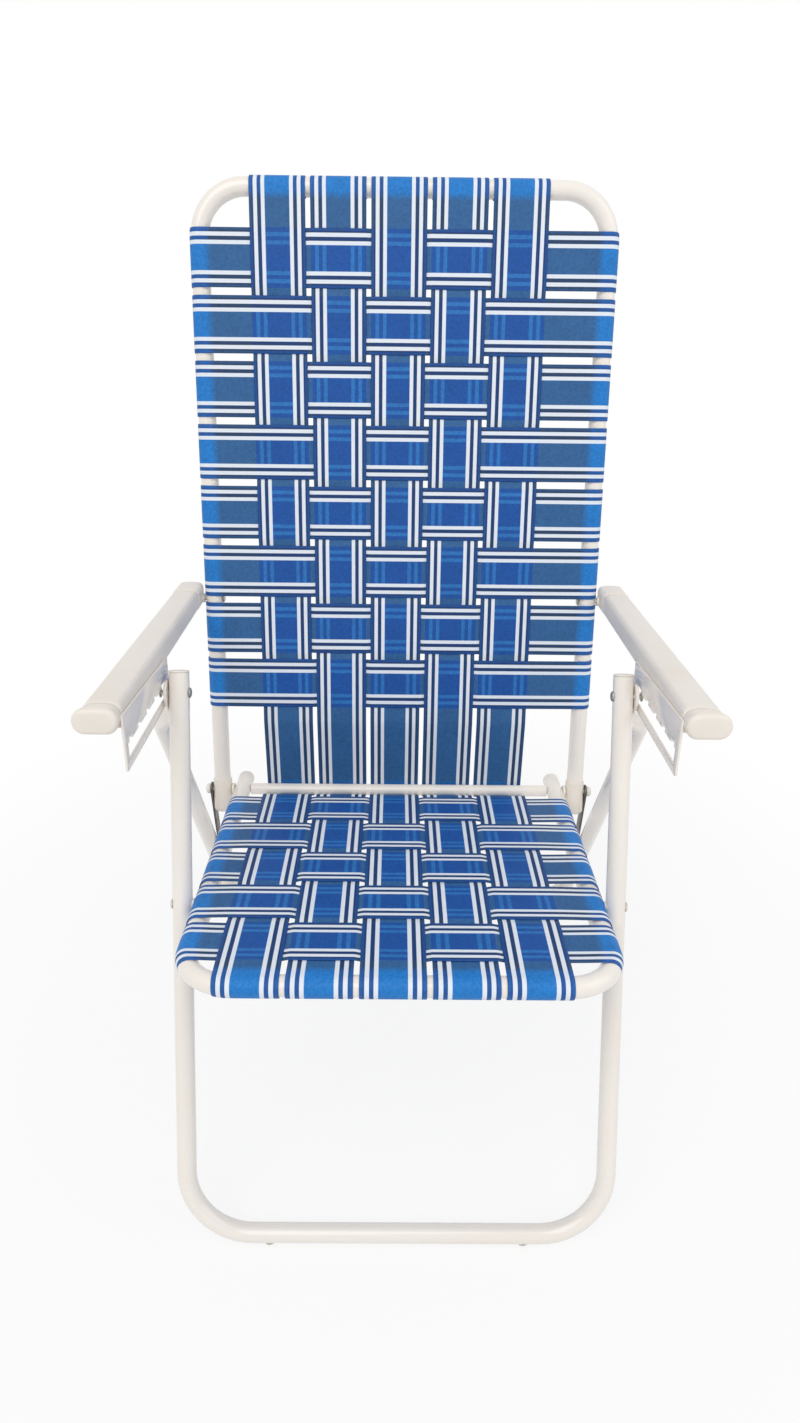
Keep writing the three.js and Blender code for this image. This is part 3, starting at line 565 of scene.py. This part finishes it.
def capStops(seam, tip, radius):
    # reach and inset of each ring from a cap's seam to its nearly flat tip
    direction = 1 if tip > seam else -1
    inset, depth, grow = armSet["seamInset"], armSet["seamDepth"], armSet["capGrow"]
    begin = tip - direction * radius
    stops = [(seam, inset), (seam + direction * depth * armSet["seamMid"], inset * armSet["capSeam"] - grow / 2),
             (seam + direction * depth, -grow)]
    stops += [(seam + (begin - seam) * share, -grow) for share in armSet["capRings"]]
    for i in range(armSet["roundSteps"] + 1):
        angle = math.pi / 2 * i / armSet["roundSteps"]
        reach = begin + direction * radius * math.sin(angle) * armSet["tipStart"]
        stops.append((reach, radius * (1 - math.cos(angle)) - grow))
    nearTip, atTip = armSet["tipInsets"]
    return stops + [(tip - direction * armSet["tipLift"], radius + nearTip), (tip, radius + atTip)]


def railStops():
    inset, depth, mid = armSet["seamInset"], armSet["seamDepth"], armSet["seamMid"]
    ends = [(0.0, inset), (depth * mid, inset * armSet["railSeam"]), (depth, 0.0)]
    shares = np.linspace(*armSet["railSpan"], armSet["rings"])
    return ([(rearReach + step, sunk) for step, sunk in ends]
            + [(rearReach + (frontReach - rearReach) * share, 0.0) for share in shares]
            + [(frontReach - step, sunk) for step, sunk in reversed(ends)])


def makeArmrests(side, sign):
    rearCap = reachOf(f"armrest_rear_cap_{side}", armPoint, armForward)
    frontCap = reachOf(f"armrest_front_cap_{side}", armPoint, armForward)
    for label, node, stops, plastic, isCap in (
        ("armRail", "armrest", railStops(), railPlastic, False),
        ("armFrontCap", "armrest_front_cap", capStops(*frontCap, armSet["frontRound"]), moulded, True),
        ("armRearCap", "armrest_rear_cap", capStops(*rearCap[::-1], armSet["rearRound"]), moulded, False),
    ):
        rings = [armRing(sign, reach, inset, isCap) for reach, inset in stops]
        skinPiece(f"{label}_{side}", rings, plastic, f"arm_{side}", [f"{node}_{side}"], armSet["sharp"])


for side, sign in sides:
    makeArmrests(side, sign)
print("armrests moulded")

# turned pieces: profiles are (along the axis, radius) in millimetres, corners eased a little
turnedSet = {"around": 40, "keepTurn": 0.35, "cutShare": 0.4, "supportFrom": 5, "easing": (0, 0.33, 0.67, 1),
             "core": 0.4, "sharp": 45}


def easedProfile(profile, edge):
    points = [np.array(p, float) / 1000 for p in profile]
    turned = [points[0]]
    for before, corner, after in zip(points, points[1:], points[2:]):
        a, b = corner - before, after - corner
        lengthA, lengthB = np.linalg.norm(a), np.linalg.norm(b)
        turn = math.acos(np.clip((a @ b) / (lengthA * lengthB), -1, 1))
        if turn < turnedSet["keepTurn"]:
            turned.append(corner)
            continue
        cut = min(edge, turnedSet["cutShare"] * lengthA, turnedSet["cutShare"] * lengthB)
        start, end = corner - a / lengthA * cut, corner + b / lengthB * cut
        if lengthA > turnedSet["supportFrom"] * cut:
            turned.append(start - a / lengthA * cut)
        for share in turnedSet["easing"]:
            turned.append(start * (1 - share) ** 2 + corner * 2 * share * (1 - share) + end * share ** 2)
        if lengthB > turnedSet["supportFrom"] * cut:
            turned.append(end + b / lengthB * cut)
    turned.append(points[-1])
    return turned


def turnedPiece(name, node, body, origin, axis, profile, finish, edge):
    first = unit(np.cross(axis, acrossAxis if abs(axis[0]) < 0.9 else np.array((0.0, 1.0, 0.0))))
    second = np.cross(axis, first)
    angles = [2 * math.pi * i / turnedSet["around"] for i in range(turnedSet["around"])]
    rings = [[origin + axis * along + (first * math.cos(a) + second * math.sin(a)) * radius for a in angles]
             for along, radius in easedProfile(profile, edge)]
    skinPiece(name, rings, finish, body, [node] if node else [], turnedSet["sharp"])


# distances across the chair, in millimetres from its middle plane
layers = {"boltStart": 147.2, "seatInner": 177.2, "seatOuter": 196.8, "legInner": 198.5, "washerOuter": 199.8,
          "backInner": 201.2, "legOuter": 217.9, "tongueOuter": 221.3, "webOuter": 222.3, "linkInner": 222.4,
          "bracketInner": 222.7, "bracketOuter": 225.3, "linkOuter": 225.3, "nutInner": 225.4}
pinShape = {"pin": 2.5, "bolt": 3.0, "head": 5.0, "headHeight": 1.8, "crown": 2.6, "headCore": 0.3, "collar": 4.6,
            "spacer": 5.0, "washer": 7.0, "nut": 6.0, "nutLength": 6.0, "linkHeadShare": 0.78, "armBore": 2.7,
            "armSpacer": 5.2, "armGap": 0.3, "rise": ((0.0, 1.0), (0.45, 0.93), (0.8, 0.75))}
endShapes = {
    "legCap": [(-12, 0.4), (-12, 7.9), (0.2, 7.9), (0.2, 9.6), (1.4, 9.6), (2.0, 8.8), (2.0, 4.0), (2.05, 0.4)],
    "seatPlug": [(-14, 0.4), (-14, 7.9), (0.15, 7.9), (0.15, 9.55), (1.2, 9.6)],
    "seatPlugDome": (1.4, 9.6, 5.6, 10),  # start, radius, height, steps
    "backSleeve": [(-13.0, 9.7), (-13.0, 10.9), (24.0, 10.9), (26.7, 8.8), (26.7, 0.4)],
    "glide": [(0.0, 0.4), (0.0, 3.4), (0.35, 4.6), (1.0, 5.6), (1.9, 6.0), (3.8, 6.0), (3.8, 2.2),
              (8.0, 2.2), (8.0, 0.4)],
}


def dome(start, radius, height, steps=7):
    angles = [math.pi / 2 * i / steps for i in range(steps)]
    rise = [(start + height * math.sin(a), radius * math.cos(a)) for a in angles]
    return rise + [(start + height, turnedSet["core"])]


def roundHead(start, sign, share=1.0):
    # low domed rivet head on the side of start that sign gives, listed in the axis's direction
    height, head = pinShape["headHeight"] * share, pinShape["head"]
    rise = [(up, head * part) for up, part in pinShape["rise"]]
    rise += [(1.0, pinShape["crown"]), (1.0, pinShape["headCore"])]
    return [(start + sign * height * up, radius) for up, radius in rise][::sign]


def outerEnd(node):
    low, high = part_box(node)
    return max(abs(low.x), abs(high.x)) * 1000


def makePins(side, axis):
    core, nut, bore = turnedSet["core"], pinShape["nut"], pinShape["armBore"]
    nutHalf = pinShape["nutLength"] / 2
    armEnd, linkEnd = outerEnd(f"arm_pivot_rivet_{side}"), outerEnd(f"link_rivet_{side}")
    spacerEnd = armInnerAt(0.0) * 1000 - pinShape["armGap"]
    at = {**layers, "armEnd": armEnd, "linkEnd": linkEnd, "spacerEnd": spacerEnd}

    def shaft(*names):
        # names are layers, with the radius between each two of them
        steps = zip(names[::2], names[1::2], names[2::2])
        return [(at[end], pinShape[radius]) for low, radius, high in steps for end in (low, high)]

    notchPin = (roundHead(at["legInner"], -1)
                + shaft("legInner", "pin", "tongueOuter", "collar", "bracketInner", "pin", "bracketOuter")
                + roundHead(at["bracketOuter"], 1))
    seatRivet = (roundHead(at["seatInner"], -1)
                 + shaft("seatInner", "bolt", "seatOuter", "spacer", "legInner", "bolt", "legOuter")
                 + roundHead(at["legOuter"], 1))
    hingeBolt = ([(at["boltStart"], core)]
                 + shaft("boltStart", "bolt", "seatOuter", "washer", "washerOuter", "bolt", "nutInner")
                 + [(at["nutInner"], nut)] + dome(at["nutInner"] + nutHalf, nut, nutHalf))
    armRivet = roundHead(at["backInner"], -1) + shaft("backInner", "pin", "armEnd") + [(armEnd, core)]
    armSpacer = [(at["webOuter"], bore), *shaft("webOuter", "armSpacer", "spacerEnd"), (spacerEnd, bore)]
    linkRivet = (roundHead(at["linkInner"], -1, pinShape["linkHeadShare"])
                 + shaft("linkInner", "pin", "linkOuter", "head", "linkEnd") + [(linkEnd, core)])
    linkFoot = middleOf(f"link_rivet_{side}") * (0, 1, 1)
    # the last number is how far the corners are eased
    for label, node, body, origin, profile, finish, edge in (
        ("notchPin", "arm_notch_pin", "front_legs", legPoint, notchPin, plated, 0.0002),
        ("seatRivet", "seat_pivot_rivet", "front_legs", seatPoint, seatRivet, fastener, 0.0002),
        ("hingeBolt", "hinge_bolt", "hinge_bar", hingePoint, hingeBolt, fastener, 0.0005),
        ("armRivet", "arm_pivot_rivet", f"arm_pivot_{side}", armPoint, armRivet, plated, 0.0003),
        ("armSpacer", None, f"arm_pivot_{side}", armPoint, armSpacer, fastener, 0.0003),
        ("linkRivet", "link_rivet", f"link_{side}", linkFoot, linkRivet, plated, 0.0003),
    ):
        turnedPiece(f"{label}_{side}", node and f"{node}_{side}", body, origin, axis, profile, finish, edge)


def makePlasticEnds(side, axis):
    legTop = seatPoint + axis * frontHalf + legUp * frontTop
    seatEnd = hingePoint + axis * seatHalf + seatForward * seatTail
    backEnd = hingePoint + axis * backHalf
    plug = endShapes["seatPlug"] + dome(*endShapes["seatPlugDome"])
    for label, node, body, origin, direction, profile, edge in (
        ("legCap", "front_leg_cap", "front_legs", legTop, legUp, endShapes["legCap"], 0.0005),
        ("seatPlug", "seat_tube_plug", "seat", seatEnd, -seatForward, plug, 0.0004),
        ("backSleeve", "back_end_sleeve", "back", backEnd, -backUp, endShapes["backSleeve"], 0.0008),
    ):
        turnedPiece(f"{label}_{side}", f"{node}_{side}", body, origin, direction, profile, moulded, edge)
    for end in ("front", "rear"):
        node = f"{end}_glide_{side}"
        turnedPiece(f"{end}Glide_{side}", node, f"{end}_legs", middleOf(node) * (1, 1, 0),
                    np.array((0, 0, 1.0)), endShapes["glide"], glidePlastic, 0.0003)


for side, sign in sides:
    makePins(side, acrossAxis * sign)
    makePlasticEnds(side, acrossAxis * sign)

# stretcher bar on the hinge line, and the laps of the long straps round it
barSet = {"radius": 0.0067, "edge": 0.0008, "gap": 0.0002, "lapGap": 0.0003, "lapSteps": 14, "runSteps": 10}
barEnd, barRadius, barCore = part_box("stretcher_bar")[1].x * 1000, barSet["radius"] * 1000, turnedSet["core"]
turnedPiece("stretcherBar", "stretcher_bar", "hinge_bar", hingePoint, acrossAxis,
            [(-barEnd, barCore), (-barEnd, barRadius), (barEnd, barRadius), (barEnd, barCore)],
            enamel, barSet["edge"])
print("fasteners turned")

# flat plates keep the outline of their node and get eased edges
plateSet = {"bracketEdge": 0.0005, "linkEdge": 0.0006, "easing": ((0.0, 1.0), (0.3, 0.3), (1.0, 0.0)),
            "near": 1e-6, "straight": 1e-9, "cornerLimit": 0.3, "sharp": 25}


def plateLoops(node):
    # outlines of the plate's outer face as (y, z), with the plate on the left of each
    work = bmesh.new()
    work.from_mesh(frame["nodes"][node].data)
    bmesh.ops.remove_doubles(work, verts=work.verts, dist=plateSet["near"])
    xs = [v.co.x for v in work.verts]
    # a list, so that the outlines start at the same points in every run
    face = [f for f in work.faces if all(abs(v.co.x - max(xs)) < plateSet["near"] for v in f.verts)]
    after = {}
    for f in face:
        for loop in f.loops:
            if not any(other in face for other in loop.edge.link_faces if other is not f):
                after[loop.vert] = loop.link_loop_next.vert
    loops = []
    while after:
        vert, second = after.popitem()
        chain = [vert]
        while second in after:
            chain.append(second)
            second = after.pop(second)
        points = np.array([(v.co.y, v.co.z) for v in chain])
        into, out = points - np.roll(points, 1, axis=0), np.roll(points, -1, axis=0) - points
        bend = np.abs(into[:, 0] * out[:, 1] - into[:, 1] * out[:, 0])
        loops.append(points[bend > plateSet["straight"]])  # points on a straight edge are left out
    work.free()
    return loops, min(xs), max(xs)


def insetLoop(points, distance):
    into = points - np.roll(points, 1, axis=0)
    into /= np.linalg.norm(into, axis=1, keepdims=True)
    out = np.roll(into, -1, axis=0)
    left, leftNext = np.stack([-into[:, 1], into[:, 0]], axis=1), np.stack([-out[:, 1], out[:, 0]], axis=1)
    share = 1 + np.sum(left * leftNext, axis=1, keepdims=True)
    return points + (left + leftNext) / np.maximum(share, plateSet["cornerLimit"]) * distance


def easedPlate(name, node, body, edge, finish):
    loops, low, high = plateLoops(node)
    levels = [(low + edge * x, edge * inset) for x, inset in plateSet["easing"]]
    levels += [(high - edge * x, edge * inset) for x, inset in reversed(plateSet["easing"])]
    points, faces, ends = [], [], ([], [])
    for loop in loops:
        base, size = len(points), len(loop)
        for x, inset in levels:
            points += [(x, y, z) for y, z in insetLoop(loop, inset)]
        faces += [tuple(base + i for i in face) for face in skinFaces(len(levels), size, closed=False)]
        ends[0].append(list(range(base, base + size)))
        ends[1].append(list(range(base + (len(levels) - 1) * size, base + len(levels) * size)))
    for outlines in ends:
        flat = [i for outline in outlines for i in outline]
        for triangle in tessellate_polygon([[Vector(points[i]) for i in outline] for outline in outlines]):
            faces.append(tuple(flat[i] for i in triangle))
    meshPiece(name, points, faces, finish, body, [node], plateSet["sharp"])


for side, _ in sides:
    easedPlate(f"notchBracket_{side}", f"notch_bracket_{side}", f"arm_{side}", plateSet["bracketEdge"], enamel)
    # the links' dark grey is partly painted shade beside the rear legs
    easedPlate(f"rearLink_{side}", f"rear_link_{side}", f"link_{side}", plateSet["linkEdge"], darkSteelAndShade)
print("plates eased")

# webbing
webOffset = tubeRadius + webSet["clear"] + webSet["thickness"] / 2
halfWeb = webSet["width"] / 2
columns = [middleOf(f"back_long_strap_{i}")[0] for i in range(1, 6)]


def bendInset(past, bend):
    # how far a bent corner has left its straight line
    past = max(0.0, min(past, bend * webSet["bendLimit"]))
    return bend - math.sqrt(bend * bend - past * past)


def weaveLevel(where, crossings, low, high):
    flat = webSet["flat"]
    knots = [(low, low, 0.0)] + [(c - flat, c + flat, level) for c, level in crossings] + [(high, high, 0.0)]
    for (_, endA, levelA), (startB, _, levelB) in zip(knots, knots[1:]):
        if endA <= where <= startB:
            return levelA + (levelB - levelA) * eased((where - endA) / (startB - endA))
    return next(level for start, end, level in knots if start <= where <= end)


def weaveStations(crossings, low, high):
    # closer together where the strap changes level, and exactly on the edges of the straps it crosses
    flat, step, show, fade = (webSet[key] for key in ("flat", "midStep", "tubeShow", "tubeFade"))
    stations = {low, high, high - show, high - show + fade, low + show, low + show - fade}
    ends = [low] + [p for c, _ in crossings for p in (c - flat, c + flat)] + [high]
    for a, b in zip(ends[::2], ends[1::2]):
        stations.update(np.linspace(a, b, webSet["levelSteps"]))
    for c, _ in crossings:
        stations.update((c - halfWeb, c - flat, c - step, c, c + step, c + flat, c + halfWeb))
    ordered = sorted(stations)
    return [s for s, after in zip(ordered, ordered[1:] + [1e9]) if after - s > webSet["minStep"]]


def acrossStrap():
    # places across the strap and half its thickness there, thinner at the hems
    hem, hemEnd, count = webSet["hem"], webSet["hemEnd"], webSet["places"]
    inner = np.linspace(-halfWeb + hemEnd, halfWeb - hemEnd, count)
    places = [-halfWeb, -halfWeb + hem, *inner, halfWeb - hem, halfWeb]
    thick = [*webSet["hemThick"]] + [1.0] * count + [*webSet["hemThick"][::-1]]
    return np.array(places), np.array(thick) * webSet["thickness"] / 2


def strapPiece(name, node, body, grid, outward, marks):
    # grid holds the strap's middle surface: stations along it, then places across it
    onStrap, onTube, behind = marks
    grid = np.array(grid)
    count, wide = grid.shape[:2]
    places, thick = acrossStrap()
    normal = np.cross(np.gradient(grid, axis=0), np.gradient(grid, axis=1))
    normal /= np.linalg.norm(normal, axis=2, keepdims=True)
    facing = normal[:, wide // 2] @ outward
    if facing[np.argmax(np.abs(facing))] < 0:
        normal = -normal
    upper = grid + normal * thick[None, :, None]
    lower = grid - normal * thick[None, :, None]
    rings = np.concatenate([upper, lower[:, ::-1]], axis=1)
    size = 2 * wide
    faces = skinFaces(count, size, closed=False)
    for base in (0, (count - 1) * size):
        faces += [(base + j, base + j + 1, base + size - 2 - j, base + size - 1 - j) for j in range(wide - 1)]
    mesh = meshPiece(name, rings.reshape(-1, 3), faces, tape, body, [node], webSet["sharp"]).data

    # places on the strap itself and on the one behind it, and marks for what is behind, which steer the painted
    # light through the tape
    lengths = np.concatenate([[0], np.cumsum(np.linalg.norm(np.diff(grid[:, wide // 2], axis=0), axis=1))])
    u = np.concatenate([places, places[::-1]]) / webSet["width"] + 0.5
    ownUv = np.stack([np.tile(u, count), np.repeat(lengths, size)], axis=1)
    otherUv = np.stack([np.repeat(behind, size), np.zeros(count * size)], axis=1)
    loopVerts = np.empty(len(mesh.loops), np.int32)
    mesh.loops.foreach_get("vertex_index", loopVerts)
    for label, values in (("tape", ownUv), ("behind", otherUv)):
        mesh.uv_layers.new(name=label).data.foreach_set("uv", values[loopVerts].astype(np.float32).ravel())
    strapMark = np.concatenate([np.repeat(onStrap, size), np.zeros(2 * (wide - 1))])
    for label, domain, values in (("onStrap", "FACE", strapMark), ("onTube", "POINT", np.repeat(onTube, size))):
        mesh.attributes.new(label, "FLOAT", domain).data.foreach_set("value", values.astype(np.float32))


def tapeMarks(wheres, crossings, tubes):
    # for each station: crossing strap behind the next face, the share of painted glow from a tube behind, and the
    # place on the crossing strap
    marks = []
    for where, after in zip(wheres, wheres[1:] + [None]):
        if where is None:
            marks.append((0.0, 1.0, 0.5))
            continue
        middle = where if after is None else (where + after) / 2
        nearest = min((c for c, _ in crossings), key=lambda c: abs(where - c))
        crossed = after is not None and any(abs(middle - c) < halfWeb for c, _ in crossings)
        gap = min(abs(where - t) for t in tubes)
        marks.append((1.0 if crossed else 0.0,
                      min(1.0, max(0.0, (webSet["tubeShow"] - gap) / webSet["tubeFade"])),
                      0.5 + (where - nearest) / webSet["width"]))
    onStrap, onTube, behind = np.array(marks).T
    return onStrap[:-1], onTube, behind


def over(column, row):
    # odd columns lie over the first row, and the rows alternate from there
    return 1.0 if (column + row) % 2 == 0 else -1.0


def strapGrid(run, across, up, middle, end, bendFrom, bend):
    # rows of points of a strap along run; each point is told where the bent tube lies at its place
    grid = []

    def addRow(pointAt):
        line = []
        for v in acrossStrap()[0]:
            along, h = pointAt(end - bendInset(abs(middle + v) - bendFrom, bend))
            line.append(hingePoint + across * (middle + v) + run * along + up * h)
        grid.append(line)

    return grid, addRow


def addWrap(addRow, angles, sign=1):
    for angle in angles:
        addRow(lambda own: (sign * (own + webOffset * math.sin(angle)), webOffset * math.cos(angle)))


def addWoven(addRow, stations, crossings, low, end, edge):
    # beyond its last crossing the strap is drawn out to the bent tube
    def drawnOut(where, own):
        if abs(where) <= edge:
            return where
        return math.copysign(edge + (abs(where) - edge) * (own - edge) / (end - edge), where)

    for where in stations:
        level = webOffset + webSet["lift"] * weaveLevel(where, crossings, low, end)
        addRow(lambda own: (drawnOut(where, own), level))


def makeCrossStrap(panel, row, reach):
    label, axis, up, half, bend = (panel[key] for key in ("label", "axis", "up", "half", "bend"))
    crossings = [(c, -over(i, row)) for i, c in enumerate(columns)]
    stations = weaveStations(crossings, -half, half)
    angles = np.linspace(math.radians(webSet["wrapTurn"]), 0, webSet["wrapSteps"])[:-1]
    edge = max(abs(crossings[0][0]), abs(crossings[-1][0])) + halfWeb
    grid, addRow = strapGrid(acrossAxis, axis, up, reach, half, panel["rail"] - bend, bend)
    addWrap(addRow, angles, -1)
    addWoven(addRow, stations, crossings, -half, half, edge)
    addWrap(addRow, angles[::-1])
    wraps = [None] * len(angles)
    strapPiece(f"{label}CrossStrap{row + 1}", f"{label}_cross_strap_{row + 1}", label, grid, up,
               tapeMarks(wraps + stations + wraps, crossings, (-half, half)))


def tangentAngle(start, radius):
    # where a straight run from the woven part meets the bar, on its inner side
    return math.degrees(math.atan2(webOffset, start) - math.acos(radius / math.hypot(start, webOffset)))


def makeLongStrap(panel, column, place):
    # angles at the bar are counted from the rail's side, through the strap's outer side
    label, axis, up, rail, bend, radius = (panel[key] for key in ("label", "axis", "up", "rail", "bend", "lap"))
    crossings = sorted((reach, over(column, row)) for row, reach in panel["rows"])
    start = crossings[0][0] - webSet["flat"] - panel["lead"]
    stations = weaveStations(crossings, start, rail)
    lap = np.radians(np.linspace(panel["lapFrom"], tangentAngle(start, radius), barSet["lapSteps"]))
    run = np.linspace(0, 1, barSet["runSteps"])[1:-1]
    wrap = np.linspace(0, math.radians(webSet["railTurn"]), webSet["railSteps"])[1:]
    footAlong, footUp = radius * math.cos(lap[-1]), radius * math.sin(lap[-1])
    grid, addRow = strapGrid(axis, acrossAxis, up, place, rail, panel["half"] - bend, bend)
    for angle in lap:
        addRow(lambda own: (radius * math.cos(angle), radius * math.sin(angle)))
    for share in run:
        addRow(lambda own: (footAlong + (start - footAlong) * share, footUp + (webOffset - footUp) * share))
    addWoven(addRow, stations, crossings, start, rail, crossings[-1][0] + halfWeb)
    addWrap(addRow, wrap)
    wheres = [None] * len(lap) + [start] * len(run) + stations + [None] * len(wrap)
    strapPiece(f"{label}LongStrap{column + 1}", f"{label}_long_strap_{column + 1}", label, grid, up,
               tapeMarks(wheres, crossings, (rail,)))


# round the stretcher bar the back's straps lap over the seat's
innerLap = barSet["radius"] + barSet["gap"] + webSet["thickness"] / 2
outerLap = innerLap + webSet["thickness"] + barSet["lapGap"]


def strapRows(label, count, axis):
    reaches = [reachOf(f"{label}_cross_strap_{i + 1}", hingePoint, axis) for i in range(count)]
    return [(row, sum(reach) / 2) for row, reach in enumerate(reaches)]


panels = (
    {"label": "seat", "axis": seatForward, "up": seatUp, "half": seatHalf, "rail": seatFront,
     "bend": tubeSet["seatBend"], "rows": strapRows("seat", 5, seatForward),
     "lap": innerLap, "lapFrom": -190, "lead": 0.008},
    {"label": "back", "axis": backUp, "up": backFront, "half": backHalf, "rail": backTop,
     "bend": tubeSet["backBend"], "rows": strapRows("back", 8, backUp),
     "lap": outerLap, "lapFrom": -135, "lead": 0.020},
)
for panel in panels:
    for row, reach in panel["rows"]:
        makeCrossStrap(panel, row, reach)
for column, place in enumerate(columns):
    for panel in panels:
        makeLongStrap(panel, column, place)
print("webbing woven")

# floor and light
stageSet = {"floorSize": 8.0, "floorCells": 8, "floorDrop": 0.0003, "floorColour": (0.86, 0.86, 0.86, 1),
            "floorSpan": (0.82, 1.0, 0.35, 1.0), "skyLevel": 0.64, "skyColour": (0.97, 0.985, 1, 1),
            "aim": (0, 0, 0.45)}
lampSet = {
    "keyLamp": {"place": (-2.0, -4.0, 5.8), "power": 180.0, "size": 5.2, "colour": (1.0, 0.985, 0.96)},
    "fillLamp": {"place": (1.9, -0.8, 1.8), "power": 10.0, "size": 2.0, "colour": (0.96, 0.98, 1.0)},
}


def seenDirectly(bench):
    # rays that show the background itself, also in gloss and through clear pieces
    path = bench.add("ShaderNodeLightPath").outputs
    seen = bench.math("MAXIMUM", path["Is Camera Ray"], path["Is Glossy Ray"])
    return bench.math("MAXIMUM", seen, path["Is Transmission Ray"])


def makeFloor():
    count = stageSet["floorCells"] + 1
    steps = np.linspace(-stageSet["floorSize"], stageSet["floorSize"], count)
    corners = [row * count + column for row in range(count - 1) for column in range(count - 1)]
    mesh = bpy.data.meshes.new("studioFloor")
    mesh.from_pydata([(x, y, -stageSet["floorDrop"]) for y in steps for x in steps], [],
                     [(a, a + 1, a + count + 1, a + count) for a in corners])
    material, bench = newFinish("studio_white", empty=True)
    matte = bench.add("ShaderNodeBsdfDiffuse", {"Color": stageSet["floorColour"]})
    # away from the chair the floor fades to plain white
    away = bench.add("ShaderNodeVectorMath", {0: bench.place()}, operation="LENGTH")
    fade = bench.span(away.outputs["Value"], *stageSet["floorSpan"], "SMOOTHSTEP")
    share = bench.math("MULTIPLY", seenDirectly(bench), fade)
    bench.blend(share, matte, bench.add("ShaderNodeEmission"), "ShaderNodeOutputMaterial")
    mesh.materials.append(material)
    floor = placed("studioFloor", mesh)


def makeSky():
    world = bpy.data.worlds.new("studioSky")
    bpy.context.scene.world = world
    world.use_nodes = True
    bench = NodeBench(world.node_tree, empty=True)
    sky = {"Color": stageSet["skyColour"], "Strength": stageSet["skyLevel"]}
    soft = bench.add("ShaderNodeBackground", sky)
    plain = bench.add("ShaderNodeBackground", {"Color": (1, 1, 1, 1)})
    bench.blend(seenDirectly(bench), soft, plain, "ShaderNodeOutputWorld")


def makeLamp(name, look):
    light = bpy.data.lights.new(name, "AREA")
    light.energy, light.size, light.color = look["power"], look["size"], look["colour"]
    lamp = placed(name, light)
    lamp.location = look["place"]
    lamp.rotation_euler = (Vector(stageSet["aim"]) - Vector(look["place"])).to_track_quat("-Z", "Y").to_euler()


makeFloor()
makeSky()
for name, look in lampSet.items():
    makeLamp(name, look)

# camera where the photograph was taken from
cameraSet = {"fromHinge": (-0.0076, -0.9643, 0.6735), "pitch": 30.34, "yaw": 0.46, "roll": -0.73,
             "lens": 24.66, "sensor": 36.0, "clipStart": 0.02}


def makeCamera():
    pitch, yaw, roll = (math.radians(cameraSet[key]) for key in ("pitch", "yaw", "roll"))
    forward = np.array((math.sin(yaw) * math.cos(pitch), math.cos(yaw) * math.cos(pitch), -math.sin(pitch)))
    right = np.array((math.cos(yaw), -math.sin(yaw), 0.0))
    down = np.cross(forward, right)
    rolledRight = right * math.cos(roll) + down * math.sin(roll)
    rolledDown = -right * math.sin(roll) + down * math.cos(roll)
    lens = bpy.data.cameras.new("viewCamera")
    lens.sensor_width, lens.lens, lens.clip_start = cameraSet["sensor"], cameraSet["lens"], cameraSet["clipStart"]
    camera = placed("viewCamera", lens)
    place = hingePoint + np.array(cameraSet["fromHinge"])
    directions = np.stack([rolledRight, -rolledDown, -forward, place], axis=1)
    camera.matrix_world = Matrix([*map(tuple, directions), (0, 0, 0, 1)])
    bpy.context.scene.camera = camera


makeCamera()
bpy.context.scene.view_settings.view_transform = "Standard"
print("floor, light and camera set")
